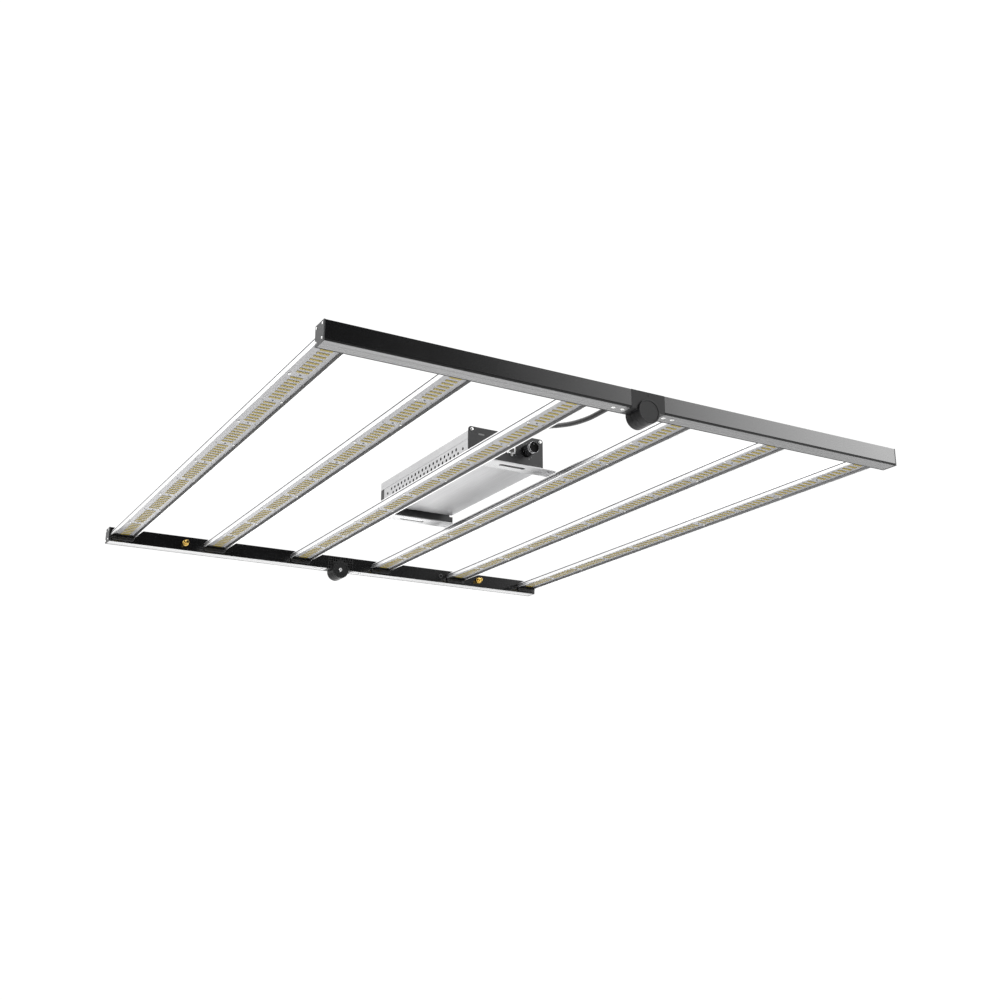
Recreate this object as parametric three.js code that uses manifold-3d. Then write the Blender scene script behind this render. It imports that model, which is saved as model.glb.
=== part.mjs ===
// Folding six-bar LED grow light with its driver between the two middle bars.
// Millimetres. X runs along the rails, Y along the light bars, Z is up.
// The origin is the middle of the plane through the tops of the rails.
import * as THREE from 'three';
import { mergeVertices } from 'three/addons/utils/BufferGeometryUtils.js';
import Module from 'manifold-3d';

const wasm = await Module();
wasm.setup();

// Driving dimensions
const GAP = 0.3; // air left between pieces that touch
const FRAME_LENGTH = 1042; // along the rails, end caps included
const FRAME_DEPTH = 1206; // over the outer faces of the two rails
const RAIL_SIZE = 30; // square section of a rail
const RAIL_WALL = 1.6;
const RAIL_BOTTOM = -RAIL_SIZE;
const COVER_THICKNESS = 2;
const LEDGE_DEPTH = 2.5; // ledges inside the rail that the cover rests on
const LEDGE_TOP = 4; // above the rail's bottom
const LEDGE_BOTTOM = 2.5;
const END_CAP_THICKNESS = 2;

const HINGE_BLOCK = 30.5; // length of one hinge block along the rail
const HINGE_RADIUS = 19;
const HINGE_RELIEF = 19.4;
const HINGE_AXIS_Z = RAIL_BOTTOM - 1;
const HINGE_TONGUE = 36; // length of the tongue inside the rail
const KNUCKLE_OUT = -2.5; // knuckle ends, measured inwards from the rail's outer face
const KNUCKLE_A = 9.9;
const KNUCKLE_B = 20.1;
const KNUCKLE_IN = 33;
const PIN_RADIUS = 4;
const PIN_START = 1.5;
const POCKET = 3.8; // side of the weight-saving pockets in the hinge blocks
const POCKET_DEPTH = 3;
const POCKET_PITCH = 5.4;

const BAR_PITCH = 197.6;
const BAR_SHIFT = 1.5; // the six bars sit this far right of the fold line
const BAR_BOTTOM_HALF = 25.4;
const BAR_TOP_HALF = 23.9;
const BAR_LED_PLANE = -14.5; // height of the board's lit face
const LIP_DROP = 4; // the bar's side lips hang this far below the board
const SHOULDER = 5.4; // top of the bar's sides, above the board's lit face
const BASE_BOTTOM = 1.9; // the web behind the board
const BASE_TOP = 4.9;
const FIN_THICKNESS = 1.6;
// Distance of each fin from the middle of the bar, and its top: the middle pair carries the brackets
const FINS = [[17.5, 7.2], [10.5, 9.2], [3.5, 12.5]];
const BOARD_WIDTH = 39;
const BOARD_THICKNESS = 1.6;

const STUD_X = 360; // hanging studs, left and right of the fold line
const STUD_Z = -15;
const STUD_COLLAR = 6.7;
const STUD_NECK = 2.6;
const STUD_HEAD = 4.2;
const STUD_LENGTH = 18;
const GROMMET_X = 257.5;
const GROMMET_HOLE = 4.6; // radius of the hole it sits in
const CABLE_X = -37;
const CABLE_RADIUS = 4;

const DRIVER_X = 1; // middle of the driver's case
const DRIVER_Y = 5;
const BRACKET_BOTTOM = -1.7;
const DRIVER_HALF_WIDTH = 77.5;
const DRIVER_HALF_LENGTH = 184; // to the outer faces of the end plates
const PLATE_THICKNESS = 2;
const PLATE_HEIGHT = 69.6;
const SHEET = 1.4; // sheet metal of the driver's case
const TRAY_BOTTOM = 12.2; // heights above the bracket's underside
const TRAY_TOP = 45.4;
const TRAY_CORNER = 2.5;
const COVER_TOP = 62.4;
const TAB_BOTTOM = 25; // side tabs of the end plates: inside the tray in front, flush with it at the back
const NEAR_TAB_DEPTH = 8;
const FAR_TAB_DEPTH = 13;
const BRACKET_WIDTH = 33;
const BRACKET_LEFT = -87;
const BRACKET_RIGHT = 86;
const BRACKET_THICKNESS = 2;
const BRACKET_LEG_TOP = 14;
const SLOT_LENGTH = 46;
const SLOT_WIDTH = 7;
const SLOT_X = 1.7;
const VENT_COUNT = 19;
const VENT_PITCH = 15.1;
const VENT_RADIUS = 2.5;
const VENT_SHIFT = -1.8;
const VENT_ROWS = [37.5, 27.9];
const KNOB_X = 42.7;
const KNOB_Z = 41.6;
const SHAFT_RADIUS = 3; // the dimmer's shaft inside the knob
const PORT_X = 9.9;
const PORT_Z = 38.7;
const OUTLET_X = CABLE_X - DRIVER_X;
const OUTLET_Z = 31.7;
const INLET_X = 30;
const INLET_Z = 34;
const CIRCUIT_HALF_WIDTH = 68;
const CIRCUIT_HALF_LENGTH = 165;
const CIRCUIT_BOTTOM = 17;
const CIRCUIT_TOP = 18.6;
const COMPONENT_BASE = CIRCUIT_TOP + GAP;
const CORE_SIZE = [52, 44, 30]; // the transformer's ferrite core
const WINDING_SIZE = [40, 56, 22];
const SPREADER_LENGTH = 240;
const SPREADER_HEIGHT = 27;

// Materials

function material(color, roughness, metalness) {
  return () => new THREE.MeshStandardMaterial({ color, roughness, metalness });
}

const blackAnodised = material(0x1a1a1c, 0.35, 0.6);
const brushedAluminium = material(0xc9cacc, 0.4, 1.0);
const barAluminium = material(0xd3d4d8, 0.35, 1.0);
const boardWhite = material(0xd9d9e2, 0.5, 0.0);
const blackPlastic = material(0x202022, 0.55, 0.0);
const darkPaint = material(0x38383a, 0.5, 0.2);
const steel = material(0xb9bbbd, 0.3, 1.0);
const brass = material(0xd9a93a, 0.3, 1.0);
const rubber = material(0x111112, 0.8, 0.0);
const circuitGreen = material(0x1f5a34, 0.6, 0.0);
const capacitorSleeve = material(0x23262c, 0.4, 0.1);
const transformerTape = material(0xb8902c, 0.6, 0.0);
const ferrite = material(0x3a3a3c, 0.7, 0.1);
const portGrey = material(0xb5b7ba, 0.4, 0.2);

// Shape tools

function box(x0, x1, y0, y1, z0, z1) {
  const geometry = new THREE.BoxGeometry(Math.abs(x1 - x0), Math.abs(y1 - y0), Math.abs(z1 - z0));
  return geometry.translate((x0 + x1) / 2, (y0 + y1) / 2, (z0 + z1) / 2);
}

function outline(points) {
  return new THREE.Shape(points.map(([u, v]) => new THREE.Vector2(u, v)));
}

// Prism along X from an outline in (y, z)
function prismX(points, x0, x1) {
  const options = { depth: Math.abs(x1 - x0), bevelEnabled: false, curveSegments: 6 };
  const geometry = new THREE.ExtrudeGeometry(outline(points), options);
  const turn = new THREE.Matrix4().makeBasis(
    new THREE.Vector3(0, 1, 0), new THREE.Vector3(0, 0, 1), new THREE.Vector3(1, 0, 0));
  return geometry.applyMatrix4(turn).translate(Math.min(x0, x1), 0, 0);
}

// Prism along Y from an outline in (x, z)
function prismY(points, y0, y1) {
  const options = { depth: Math.abs(y1 - y0), bevelEnabled: false, curveSegments: 6 };
  const geometry = new THREE.ExtrudeGeometry(outline(points), options);
  const turn = new THREE.Matrix4().makeBasis(
    new THREE.Vector3(1, 0, 0), new THREE.Vector3(0, 0, 1), new THREE.Vector3(0, -1, 0));
  return geometry.applyMatrix4(turn).translate(0, Math.max(y0, y1), 0);
}

// Prism along Z from an outline in (x, y)
function prismZ(points, z0, z1) {
  const options = { depth: z1 - z0, bevelEnabled: false };
  return new THREE.ExtrudeGeometry(outline(points), options).translate(0, 0, z0);
}

function cylinderY(x, z, radius, y0, y1, segments = 24) {
  const geometry = new THREE.CylinderGeometry(radius, radius, Math.abs(y1 - y0), segments);
  return geometry.translate(x, (y0 + y1) / 2, z);
}

// Turned piece about a line along Y; the profile lists [radius, y] pairs
function turnedY(profile, segments = 24) {
  const points = profile.map(([r, y]) => new THREE.Vector2(r, y));
  return new THREE.LatheGeometry(points, segments);
}

function toSolid(geometry) {
  const bare = geometry.clone();
  bare.deleteAttribute('normal');
  bare.deleteAttribute('uv');
  const merged = mergeVertices(bare, 1e-4);
  const mesh = new wasm.Mesh({
    numProp: 3,
    vertProperties: Float32Array.from(merged.attributes.position.array),
    triVerts: Uint32Array.from(merged.index.array),
  });
  return new wasm.Manifold(mesh);
}

function toGeometry(solid) {
  const mesh = solid.getMesh();
  const geometry = new THREE.BufferGeometry();
  geometry.setAttribute('position', new THREE.BufferAttribute(mesh.vertProperties, 3));
  geometry.setIndex(new THREE.BufferAttribute(mesh.triVerts, 1));
  geometry.computeVertexNormals();
  return geometry;
}

// The same outline points on the other side of x = 0, in the opposite order
function mirrored(points) {
  return points.map(([x, z]) => [-x, z]).reverse();
}

function combine(joined, cut = []) {
  let solid = toSolid(joined[0]);
  for (const piece of joined.slice(1)) {
    solid = solid.add(toSolid(piece));
  }
  for (const piece of cut) {
    solid = solid.subtract(toSolid(piece));
  }
  return toGeometry(solid);
}

function place(parent, name, geometry, makeMaterial, x = 0, y = 0, z = 0) {
  const mesh = new THREE.Mesh(geometry, makeMaterial());
  mesh.name = name;
  mesh.position.set(x, y, z);
  parent.add(mesh);
  return mesh;
}

// Rails. sideX is -1 for the left half and 1 for the right, sideY is -1 near and 1 far.

const RAIL_OUTER_Y = FRAME_DEPTH / 2;
const RAIL_INNER_Y = RAIL_OUTER_Y - RAIL_SIZE;
const RAIL_END_X = FRAME_LENGTH / 2;

// Distance from the rail's outer face, turned into a y
function fromOuter(sideY, depth) {
  return sideY * (RAIL_OUTER_Y - depth);
}

function railOutline(sideY) {
  const inner = RAIL_SIZE - RAIL_WALL;
  const ledge = RAIL_WALL + LEDGE_DEPTH;
  const groove = 0.4;
  const points = [
    [0, RAIL_BOTTOM], [RAIL_WALL, RAIL_BOTTOM], [RAIL_WALL, RAIL_BOTTOM + LEDGE_BOTTOM],
    [ledge, RAIL_BOTTOM + LEDGE_BOTTOM], [ledge, RAIL_BOTTOM + LEDGE_TOP],
    [RAIL_WALL, RAIL_BOTTOM + LEDGE_TOP], [RAIL_WALL, -RAIL_WALL], [inner, -RAIL_WALL],
    [inner, RAIL_BOTTOM + LEDGE_TOP], [RAIL_SIZE - ledge, RAIL_BOTTOM + LEDGE_TOP],
    [RAIL_SIZE - ledge, RAIL_BOTTOM + LEDGE_BOTTOM], [inner, RAIL_BOTTOM + LEDGE_BOTTOM],
    [inner, RAIL_BOTTOM], [RAIL_SIZE, RAIL_BOTTOM], [RAIL_SIZE, 0], [0, 0],
    [0, RAIL_BOTTOM + LEDGE_TOP - 0.8], [groove, RAIL_BOTTOM + LEDGE_TOP - 1],
    [groove, RAIL_BOTTOM + LEDGE_BOTTOM], [0, RAIL_BOTTOM + LEDGE_BOTTOM - 0.2],
  ];
  return points.map(([depth, z]) => [fromOuter(sideY, depth), z]);
}

function railHole(sideY, x, radius) {
  return cylinderY(x, STUD_Z, radius, sideY * (RAIL_INNER_Y - 2), sideY * (RAIL_INNER_Y + 4), 20);
}

function rail(sideX, sideY) {
  const start = sideX * (HINGE_BLOCK + GAP);
  const end = sideX * (RAIL_END_X - END_CAP_THICKNESS - GAP);
  const holes = [railHole(sideY, sideX * STUD_X, STUD_HEAD)];
  if (sideX < 0 && sideY < 0) {
    holes.push(railHole(sideY, CABLE_X, CABLE_RADIUS + 1));
  }
  if (sideX > 0 && sideY > 0) {
    holes.push(railHole(sideY, GROMMET_X, GROMMET_HOLE));
  }
  return combine([prismX(railOutline(sideY), start, end)], holes);
}

// Bottom plate of a rail, with its corners cut off beside the hinge
function railCover(sideX, sideY) {
  const start = HINGE_BLOCK + GAP;
  const end = RAIL_END_X - END_CAP_THICKNESS - GAP;
  const edge = RAIL_WALL + GAP;
  const corner = 3;
  const points = [
    [start, edge + corner], [start + corner, edge], [end, edge], [end, RAIL_SIZE - edge],
    [start + corner, RAIL_SIZE - edge], [start, RAIL_SIZE - edge - corner],
  ].map(([x, depth]) => [sideX * x, fromOuter(sideY, depth)]);
  const bottom = RAIL_BOTTOM + 0.2;
  return prismZ(points, bottom, bottom + COVER_THICKNESS);
}

// Square plate that closes the rail, with a plug that goes inside it
function endCap(sideX, sideY) {
  const plateStart = RAIL_END_X - END_CAP_THICKNESS;
  const plugIn = RAIL_WALL + GAP;
  const plate = box(sideX * plateStart, sideX * RAIL_END_X,
    fromOuter(sideY, 0), fromOuter(sideY, RAIL_SIZE), RAIL_BOTTOM, 0);
  const plug = box(sideX * (plateStart - 7), sideX * (plateStart + 1),
    fromOuter(sideY, plugIn), fromOuter(sideY, RAIL_SIZE - plugIn),
    RAIL_BOTTOM + LEDGE_TOP + GAP, -plugIn);
  return combine([plate, plug]);
}

// Hinges

function hingeKnuckle(sideY, from, to, radius) {
  return cylinderY(0, HINGE_AXIS_Z, radius, fromOuter(sideY, from), fromOuter(sideY, to), 48);
}

// Square pockets moulded into the inner face of a hinge block, clear of the barrel
function hingePockets(sideX, sideY) {
  const pockets = [];
  const face = RAIL_SIZE - POCKET_DEPTH;
  for (let column = 0; column < 5; column += 1) {
    for (let row = 0; row < 5; row += 1) {
      const x = 4.6 + column * POCKET_PITCH;
      const z = -4.4 - row * POCKET_PITCH;
      const clear = Math.hypot(x - POCKET / 2, z - POCKET / 2 - HINGE_AXIS_Z) > HINGE_RELIEF + 1;
      if (clear) {
        pockets.push(box(sideX * (x - POCKET / 2), sideX * (x + POCKET / 2),
          fromOuter(sideY, face), fromOuter(sideY, RAIL_SIZE + 1), z - POCKET / 2, z + POCKET / 2));
      }
    }
  }
  return pockets;
}

function hingeBody(sideX, sideY) {
  const inset = RAIL_WALL + GAP;
  const block = box(sideX * GAP / 2, sideX * HINGE_BLOCK,
    fromOuter(sideY, 0), fromOuter(sideY, RAIL_SIZE), RAIL_BOTTOM, 0);
  const tongue = box(sideX * (HINGE_BLOCK - 1), sideX * (HINGE_BLOCK + HINGE_TONGUE),
    fromOuter(sideY, inset), fromOuter(sideY, RAIL_SIZE - inset),
    RAIL_BOTTOM + LEDGE_TOP + GAP, -inset);
  return [block, tongue];
}

// Hole in the near left tongue for the end of the driver's lead
function cableRoom() {
  return cylinderY(CABLE_X, STUD_Z, CABLE_RADIUS + 1.5, -RAIL_INNER_Y + 1, -RAIL_INNER_Y - 14, 16);
}

// The left leaf carries the outer and the inner knuckle
function leftHingeLeaf(sideY) {
  const relief = hingeKnuckle(sideY, KNUCKLE_A, KNUCKLE_B, HINGE_RELIEF);
  const outer = hingeKnuckle(sideY, KNUCKLE_OUT, KNUCKLE_A, HINGE_RADIUS);
  const inner = hingeKnuckle(sideY, KNUCKLE_B, KNUCKLE_IN, HINGE_RADIUS);
  const body = combine(hingeBody(-1, sideY), [relief, ...hingePockets(-1, sideY)]);
  const cuts = [hingeKnuckle(sideY, PIN_START - GAP, KNUCKLE_IN + 5, PIN_RADIUS + GAP)];
  if (sideY < 0) {
    cuts.push(cableRoom());
  }
  return combine([body, outer, inner], cuts);
}

// The right leaf carries the middle knuckle
function rightHingeLeaf(sideY) {
  const outerRelief = hingeKnuckle(sideY, KNUCKLE_OUT - 5, KNUCKLE_A + GAP, HINGE_RELIEF);
  const innerRelief = hingeKnuckle(sideY, KNUCKLE_B - GAP, KNUCKLE_IN + 5, HINGE_RELIEF);
  const middle = hingeKnuckle(sideY, KNUCKLE_A + GAP, KNUCKLE_B - GAP, HINGE_RADIUS);
  const body = combine(hingeBody(1, sideY), [outerRelief, innerRelief, ...hingePockets(1, sideY)]);
  const bore = hingeKnuckle(sideY, KNUCKLE_A, KNUCKLE_B, PIN_RADIUS + GAP);
  return combine([body, middle], [bore]);
}

function hingePin(sideY) {
  return hingeKnuckle(sideY, PIN_START, KNUCKLE_IN + 0.5, PIN_RADIUS);
}

// Light bars

// Half of the heat sink's section, from its middle underneath out to the side and back on top
function barHalfOutline() {
  const points = [
    [20.3, BASE_BOTTOM], [20.3, -0.5], [22.3, -LIP_DROP], [BAR_BOTTOM_HALF, -LIP_DROP],
    [24.5, 2.6], [23.9, 3.1], [24.3, 3.6], [BAR_TOP_HALF, SHOULDER],
    [21.5, SHOULDER], [21.5, BASE_TOP],
  ];
  for (const [fin, top] of FINS) {
    const outside = fin + FIN_THICKNESS / 2;
    const inside = fin - FIN_THICKNESS / 2;
    points.push([outside, BASE_TOP], [outside, top], [inside, top], [inside, BASE_TOP]);
  }
  return points;
}

function heatSink() {
  const right = barHalfOutline();
  const reach = RAIL_INNER_Y - GAP;
  return prismY([...right, ...mirrored(right)], -reach, reach);
}

function ledBoard() {
  const reach = RAIL_INNER_Y - 1;
  return box(-BOARD_WIDTH / 2, BOARD_WIDTH / 2, -reach, reach, 0, BOARD_THICKNESS);
}

// Fittings on the rails

// Brass stud with a collar, a neck for the hanging loop and a round head
function hangingStud() {
  return turnedY([
    [0, -3], [STUD_HEAD - GAP, -3], [STUD_HEAD - GAP, GAP], [STUD_COLLAR, GAP], [STUD_COLLAR, 5],
    [STUD_COLLAR - 0.8, 6], [STUD_NECK, 6], [STUD_NECK, 12.5], [STUD_HEAD, 13.5],
    [STUD_HEAD, STUD_LENGTH - 0.8], [STUD_HEAD - 0.8, STUD_LENGTH], [0, STUD_LENGTH],
  ], 16);
}

// Rubber ring that snaps into a hole of the rail's wall
function grommet() {
  return turnedY([
    [2.8, -3.2], [5.6, -3.2], [5.6, -GAP - RAIL_WALL], [4.3, -GAP - RAIL_WALL], [4.3, GAP],
    [5.8, GAP], [5.8, 1.1], [5, 1.6], [2.8, 1.6], [2.8, -3.2],
  ], 20);
}

// Cable gland: nut, body and domed cap with the cable's hole through it
function gland(bodyRadius, length) {
  const hole = CABLE_RADIUS + GAP;
  return turnedY([
    [hole, GAP], [bodyRadius, GAP], [bodyRadius, 4.5], [bodyRadius - 1.2, 5],
    [bodyRadius - 1.2, length * 0.7], [bodyRadius - 2, length * 0.85], [hole + 0.9, length],
    [hole, length], [hole, GAP],
  ], 16);
}

// Route of the lead from the driver's gland to the rail's gland
const CABLE_ROUTE = [
  [CABLE_X, -180.5, 30], [CABLE_X, -209, 30], [CABLE_X, -237, 30], [CABLE_X, -262, 29.6],
  [CABLE_X, -290, 27.8], [CABLE_X, -318, 23.8], [CABLE_X, -350, 17.6], [CABLE_X, -383, 9],
  [CABLE_X, -415, 0.3], [CABLE_X, -447, -7.2], [CABLE_X, -476, -12], [CABLE_X, -503, -14.6],
  [CABLE_X, -528, -15], [CABLE_X, -552, -15], [CABLE_X, -580, -15],
];

function outputCable() {
  const route = new THREE.CatmullRomCurve3(CABLE_ROUTE.map((point) => new THREE.Vector3(...point)));
  const section = new THREE.Shape();
  section.absarc(0, 0, CABLE_RADIUS, 0, 2 * Math.PI, false);
  const options = { steps: 28, extrudePath: route, curveSegments: 5, bevelEnabled: false };
  return new THREE.ExtrudeGeometry(section, options);
}

// Driver. Its pieces are placed in a group whose origin is the middle of the case,
// level with the brackets' underside.

function roundedPlate(halfWidth, bottom, top, radius) {
  const points = [[-halfWidth, bottom], [halfWidth, bottom]];
  for (let step = 0; step <= 4; step += 1) {
    const angle = (step / 4) * (Math.PI / 2);
    points.push([halfWidth - radius + radius * Math.cos(angle), top - radius + radius * Math.sin(angle)]);
  }
  for (let step = 0; step <= 4; step += 1) {
    const angle = Math.PI / 2 + (step / 4) * (Math.PI / 2);
    points.push([radius - halfWidth + radius * Math.cos(angle), top - radius + radius * Math.sin(angle)]);
  }
  return points;
}

// Pair of side tabs, running inwards from an end plate
function plateTabs(sideY, outerX, depth) {
  return [-1, 1].map((side) => box(side * (outerX - SHEET), side * outerX,
    sideY * (DRIVER_HALF_LENGTH - 1), sideY * (DRIVER_HALF_LENGTH - PLATE_THICKNESS - depth),
    TAB_BOTTOM, TRAY_TOP));
}

function nearEndPlate() {
  const across = [-DRIVER_HALF_LENGTH - 2, -DRIVER_HALF_LENGTH + 4];
  const outline = roundedPlate(DRIVER_HALF_WIDTH, 0, PLATE_HEIGHT, 6);
  const plate = prismY(outline, -DRIVER_HALF_LENGTH, PLATE_THICKNESS - DRIVER_HALF_LENGTH);
  const tabs = plateTabs(-1, DRIVER_HALF_WIDTH - SHEET - GAP, NEAR_TAB_DEPTH);
  return combine([plate, ...tabs], [
    cylinderY(KNOB_X, KNOB_Z, 4.5, ...across, 16),
    cylinderY(OUTLET_X, OUTLET_Z, CABLE_RADIUS + 1, ...across, 16),
    box(PORT_X - 8.8, PORT_X + 8.8, ...across, PORT_Z - 7.3, PORT_Z + 7.3),
  ]);
}

// Plate with shoulders: full width up to the tray's rim, then narrow enough to stand inside the cover
function farEndPlate() {
  const across = [DRIVER_HALF_LENGTH - 4, DRIVER_HALF_LENGTH + 2];
  const shoulder = DRIVER_HALF_WIDTH - SHEET - GAP;
  const right = [[DRIVER_HALF_WIDTH, 0], [DRIVER_HALF_WIDTH, TRAY_TOP], [shoulder, TRAY_TOP],
    [shoulder, COVER_TOP - SHEET - GAP]];
  const outline = [...right, ...mirrored(right)];
  const plate = prismY(outline, DRIVER_HALF_LENGTH - PLATE_THICKNESS, DRIVER_HALF_LENGTH);
  const tabs = plateTabs(1, DRIVER_HALF_WIDTH, FAR_TAB_DEPTH);
  return combine([plate, ...tabs],
    [box(INLET_X - 14.3, INLET_X + 14.3, ...across, INLET_Z - 10.3, INLET_Z + 10.3)]);
}

// Right side of the tray down to its bottom, inset from the outer face
function traySide(inset) {
  const radius = TRAY_CORNER;
  const steps = 3;
  const centreX = DRIVER_HALF_WIDTH - radius;
  const centreZ = TRAY_BOTTOM + radius;
  const points = [[DRIVER_HALF_WIDTH - inset, TRAY_TOP]];
  for (let step = 0; step <= steps; step += 1) {
    const angle = (step / steps) * (Math.PI / 2);
    points.push([centreX + (radius - inset) * Math.cos(angle), centreZ - (radius - inset) * Math.sin(angle)]);
  }
  return points;
}

// Outline of the tray: a U with rounded lower edges
function trayOutline() {
  const outside = traySide(0);
  const inside = traySide(SHEET);
  const back = [...inside, ...mirrored(inside)].reverse();
  return [...outside, ...mirrored(outside), ...back];
}

// Air hole through both side walls
function vent(y, z) {
  const geometry = new THREE.CylinderGeometry(VENT_RADIUS, VENT_RADIUS, 2 * DRIVER_HALF_WIDTH + 4, 8);
  return geometry.rotateZ(Math.PI / 2).translate(0, y, z);
}

function driverTray() {
  const front = DRIVER_HALF_LENGTH - PLATE_THICKNESS - GAP;
  const vents = [];
  for (let index = 0; index < VENT_COUNT; index += 1) {
    VENT_ROWS.forEach((z, row) => {
      const y = VENT_SHIFT + (index - (VENT_COUNT - 1) / 2) * VENT_PITCH - row * VENT_PITCH / 2;
      vents.push(vent(y, z));
    });
  }
  return combine([prismY(trayOutline(), -front, front - FAR_TAB_DEPTH)], vents);
}

function driverCover() {
  const front = DRIVER_HALF_LENGTH - PLATE_THICKNESS - GAP;
  const half = DRIVER_HALF_WIDTH;
  const edge = 1.5;
  const skirt = TRAY_TOP + GAP;
  return prismY([
    [half, skirt], [half, COVER_TOP - edge], [half - edge, COVER_TOP], [edge - half, COVER_TOP],
    [-half, COVER_TOP - edge], [-half, skirt], [SHEET - half, skirt],
    [SHEET - half, COVER_TOP - SHEET], [half - SHEET, COVER_TOP - SHEET], [half - SHEET, skirt],
  ], -front, DRIVER_HALF_LENGTH);
}

// Outline of a straight slot with round ends
function slotOutline(x, y) {
  const radius = SLOT_WIDTH / 2;
  const reach = SLOT_LENGTH / 2 - radius;
  const points = [];
  for (const end of [1, -1]) {
    for (let step = 0; step <= 6; step += 1) {
      const angle = (step / 6 - 0.5) * Math.PI;
      points.push([x + end * (reach + radius * Math.cos(angle)), y + end * radius * Math.sin(angle)]);
    }
  }
  return points;
}

// Angle that carries the driver: a slotted flange outwards and a low leg against the end plate
function bracket(sideY) {
  const root = DRIVER_HALF_LENGTH + GAP;
  const tip = root + BRACKET_WIDTH;
  const middle = (root + tip + BRACKET_THICKNESS) / 2;
  const flange = box(BRACKET_LEFT, BRACKET_RIGHT, sideY * root, sideY * tip, 0, BRACKET_THICKNESS);
  const leg = box(BRACKET_LEFT, BRACKET_RIGHT, sideY * root, sideY * (root + BRACKET_THICKNESS), 1,
    BRACKET_LEG_TOP);
  const slot = prismZ(slotOutline(SLOT_X, sideY * middle), -1, BRACKET_THICKNESS + 1);
  return combine([flange, leg], [slot]);
}

function circuitBoard() {
  return box(-CIRCUIT_HALF_WIDTH, CIRCUIT_HALF_WIDTH, -CIRCUIT_HALF_LENGTH, CIRCUIT_HALF_LENGTH,
    CIRCUIT_BOTTOM, CIRCUIT_TOP);
}

// Block centred on its own x = 0, y = 0, standing on z = bottom
function centredBlock([width, length, height], bottom) {
  return box(-width / 2, width / 2, -length / 2, length / 2, bottom, bottom + height);
}

// Wound transformer: a ferrite core with the taped winding standing out at both ends
function mainTransformer() {
  const lift = (CORE_SIZE[2] - WINDING_SIZE[2]) / 2;
  return combine([centredBlock(CORE_SIZE, 0), centredBlock(WINDING_SIZE, lift)]);
}

// Ring choke lying on the circuit board
function filterChoke() {
  const profile = [[7, 0], [15, 0], [17, 2], [17, 12], [15, 14], [7, 14], [7, 0]];
  return turnedY(profile, 20).rotateX(Math.PI / 2);
}

function bulkCapacitor() {
  const profile = [[0, 0], [11, 0], [11, 2], [10.4, 2.6], [11, 3.2], [11, 30], [10, 31], [0, 31]];
  return turnedY(profile, 20).rotateX(Math.PI / 2);
}

// Aluminium angle that carries the power transistors' heat to the tray's wall
function heatSpreader() {
  const wall = DRIVER_HALF_WIDTH - SHEET - GAP;
  const reach = SPREADER_LENGTH / 2;
  const upright = box(wall - 3, wall, -reach, reach, 0, SPREADER_HEIGHT);
  const foot = box(CIRCUIT_HALF_WIDTH - 12, wall - 1, -reach, reach, 0, 2.5);
  return combine([upright, foot]);
}

// Potentiometer behind the end plate; its shaft comes through to the knob
function potentiometer() {
  const plate = -DRIVER_HALF_LENGTH;
  const can = cylinderY(KNOB_X, KNOB_Z, 8, plate + PLATE_THICKNESS + GAP, plate + 14, 20);
  const bushing = cylinderY(KNOB_X, KNOB_Z, 4, plate - 1.5, plate + 5, 16);
  const shaft = cylinderY(KNOB_X, KNOB_Z, SHAFT_RADIUS, plate - 18, plate + 5, 16);
  return combine([can, bushing, shaft]);
}

// Turned knob with a skirt, a recessed face, a raised pointer and a blind bore for the shaft
function dimmerKnob() {
  const turned = turnedY([
    [0, 0], [10, 0], [11, 1], [11, 3], [10.4, 3.6], [10.4, 25], [9.8, 26], [8.8, 26],
    [8.8, 24.6], [0, 24.6],
  ], 32);
  const pointer = box(-0.9, 0.9, 22, 25.8, 1.5, 9.2);
  const bore = cylinderY(0, 0, SHAFT_RADIUS + GAP, -1, 18, 16);
  const bushingRoom = cylinderY(0, 0, 5, -1, 2, 16);
  return combine([turned, pointer], [bore, bushingRoom]);
}

// Socket for the dimming lead, open towards the front
function dimmingPort() {
  const front = -DRIVER_HALF_LENGTH - 1;
  const body = box(PORT_X - 8.4, PORT_X + 8.4, front, front + 17, PORT_Z - 7, PORT_Z + 7);
  const mouth = box(PORT_X - 6, PORT_X + 6, front - 1, front + 13, PORT_Z - 4.4, PORT_Z + 4);
  const latch = box(PORT_X - 2.2, PORT_X + 2.2, front - 1, front + 10, PORT_Z - 6, PORT_Z - 3);
  return combine([body], [mouth, latch]);
}

// Mains socket with three blades standing in its recess
function mainsInlet() {
  const face = DRIVER_HALF_LENGTH + 2.5;
  const back = DRIVER_HALF_LENGTH - 20;
  const body = box(INLET_X - 14, INLET_X + 14, back, face, INLET_Z - 10, INLET_Z + 10);
  const flange = box(INLET_X - 16, INLET_X + 16, DRIVER_HALF_LENGTH + GAP, face, INLET_Z - 12, INLET_Z + 12);
  const recess = box(INLET_X - 12, INLET_X + 12, back + 3, face + 1, INLET_Z - 8, INLET_Z + 8);
  const blades = [[-7, -2], [0, 2.5], [7, -2]].map(([x, z]) => box(INLET_X + x - 1, INLET_X + x + 1,
    back + 2, face - 4, INLET_Z + z - 2.2, INLET_Z + z + 2.2));
  return combine([combine([body, flange], [recess]), ...blades]);
}

function statusLens() {
  return cylinderY(0, 0, 1.8, 0, 2.2, 12);
}

// Assembly

const light = new THREE.Group();
const SIDES = [[-1, 'left'], [1, 'right']];
const ENDS = [[-1, 'near'], [1, 'far']];

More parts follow.
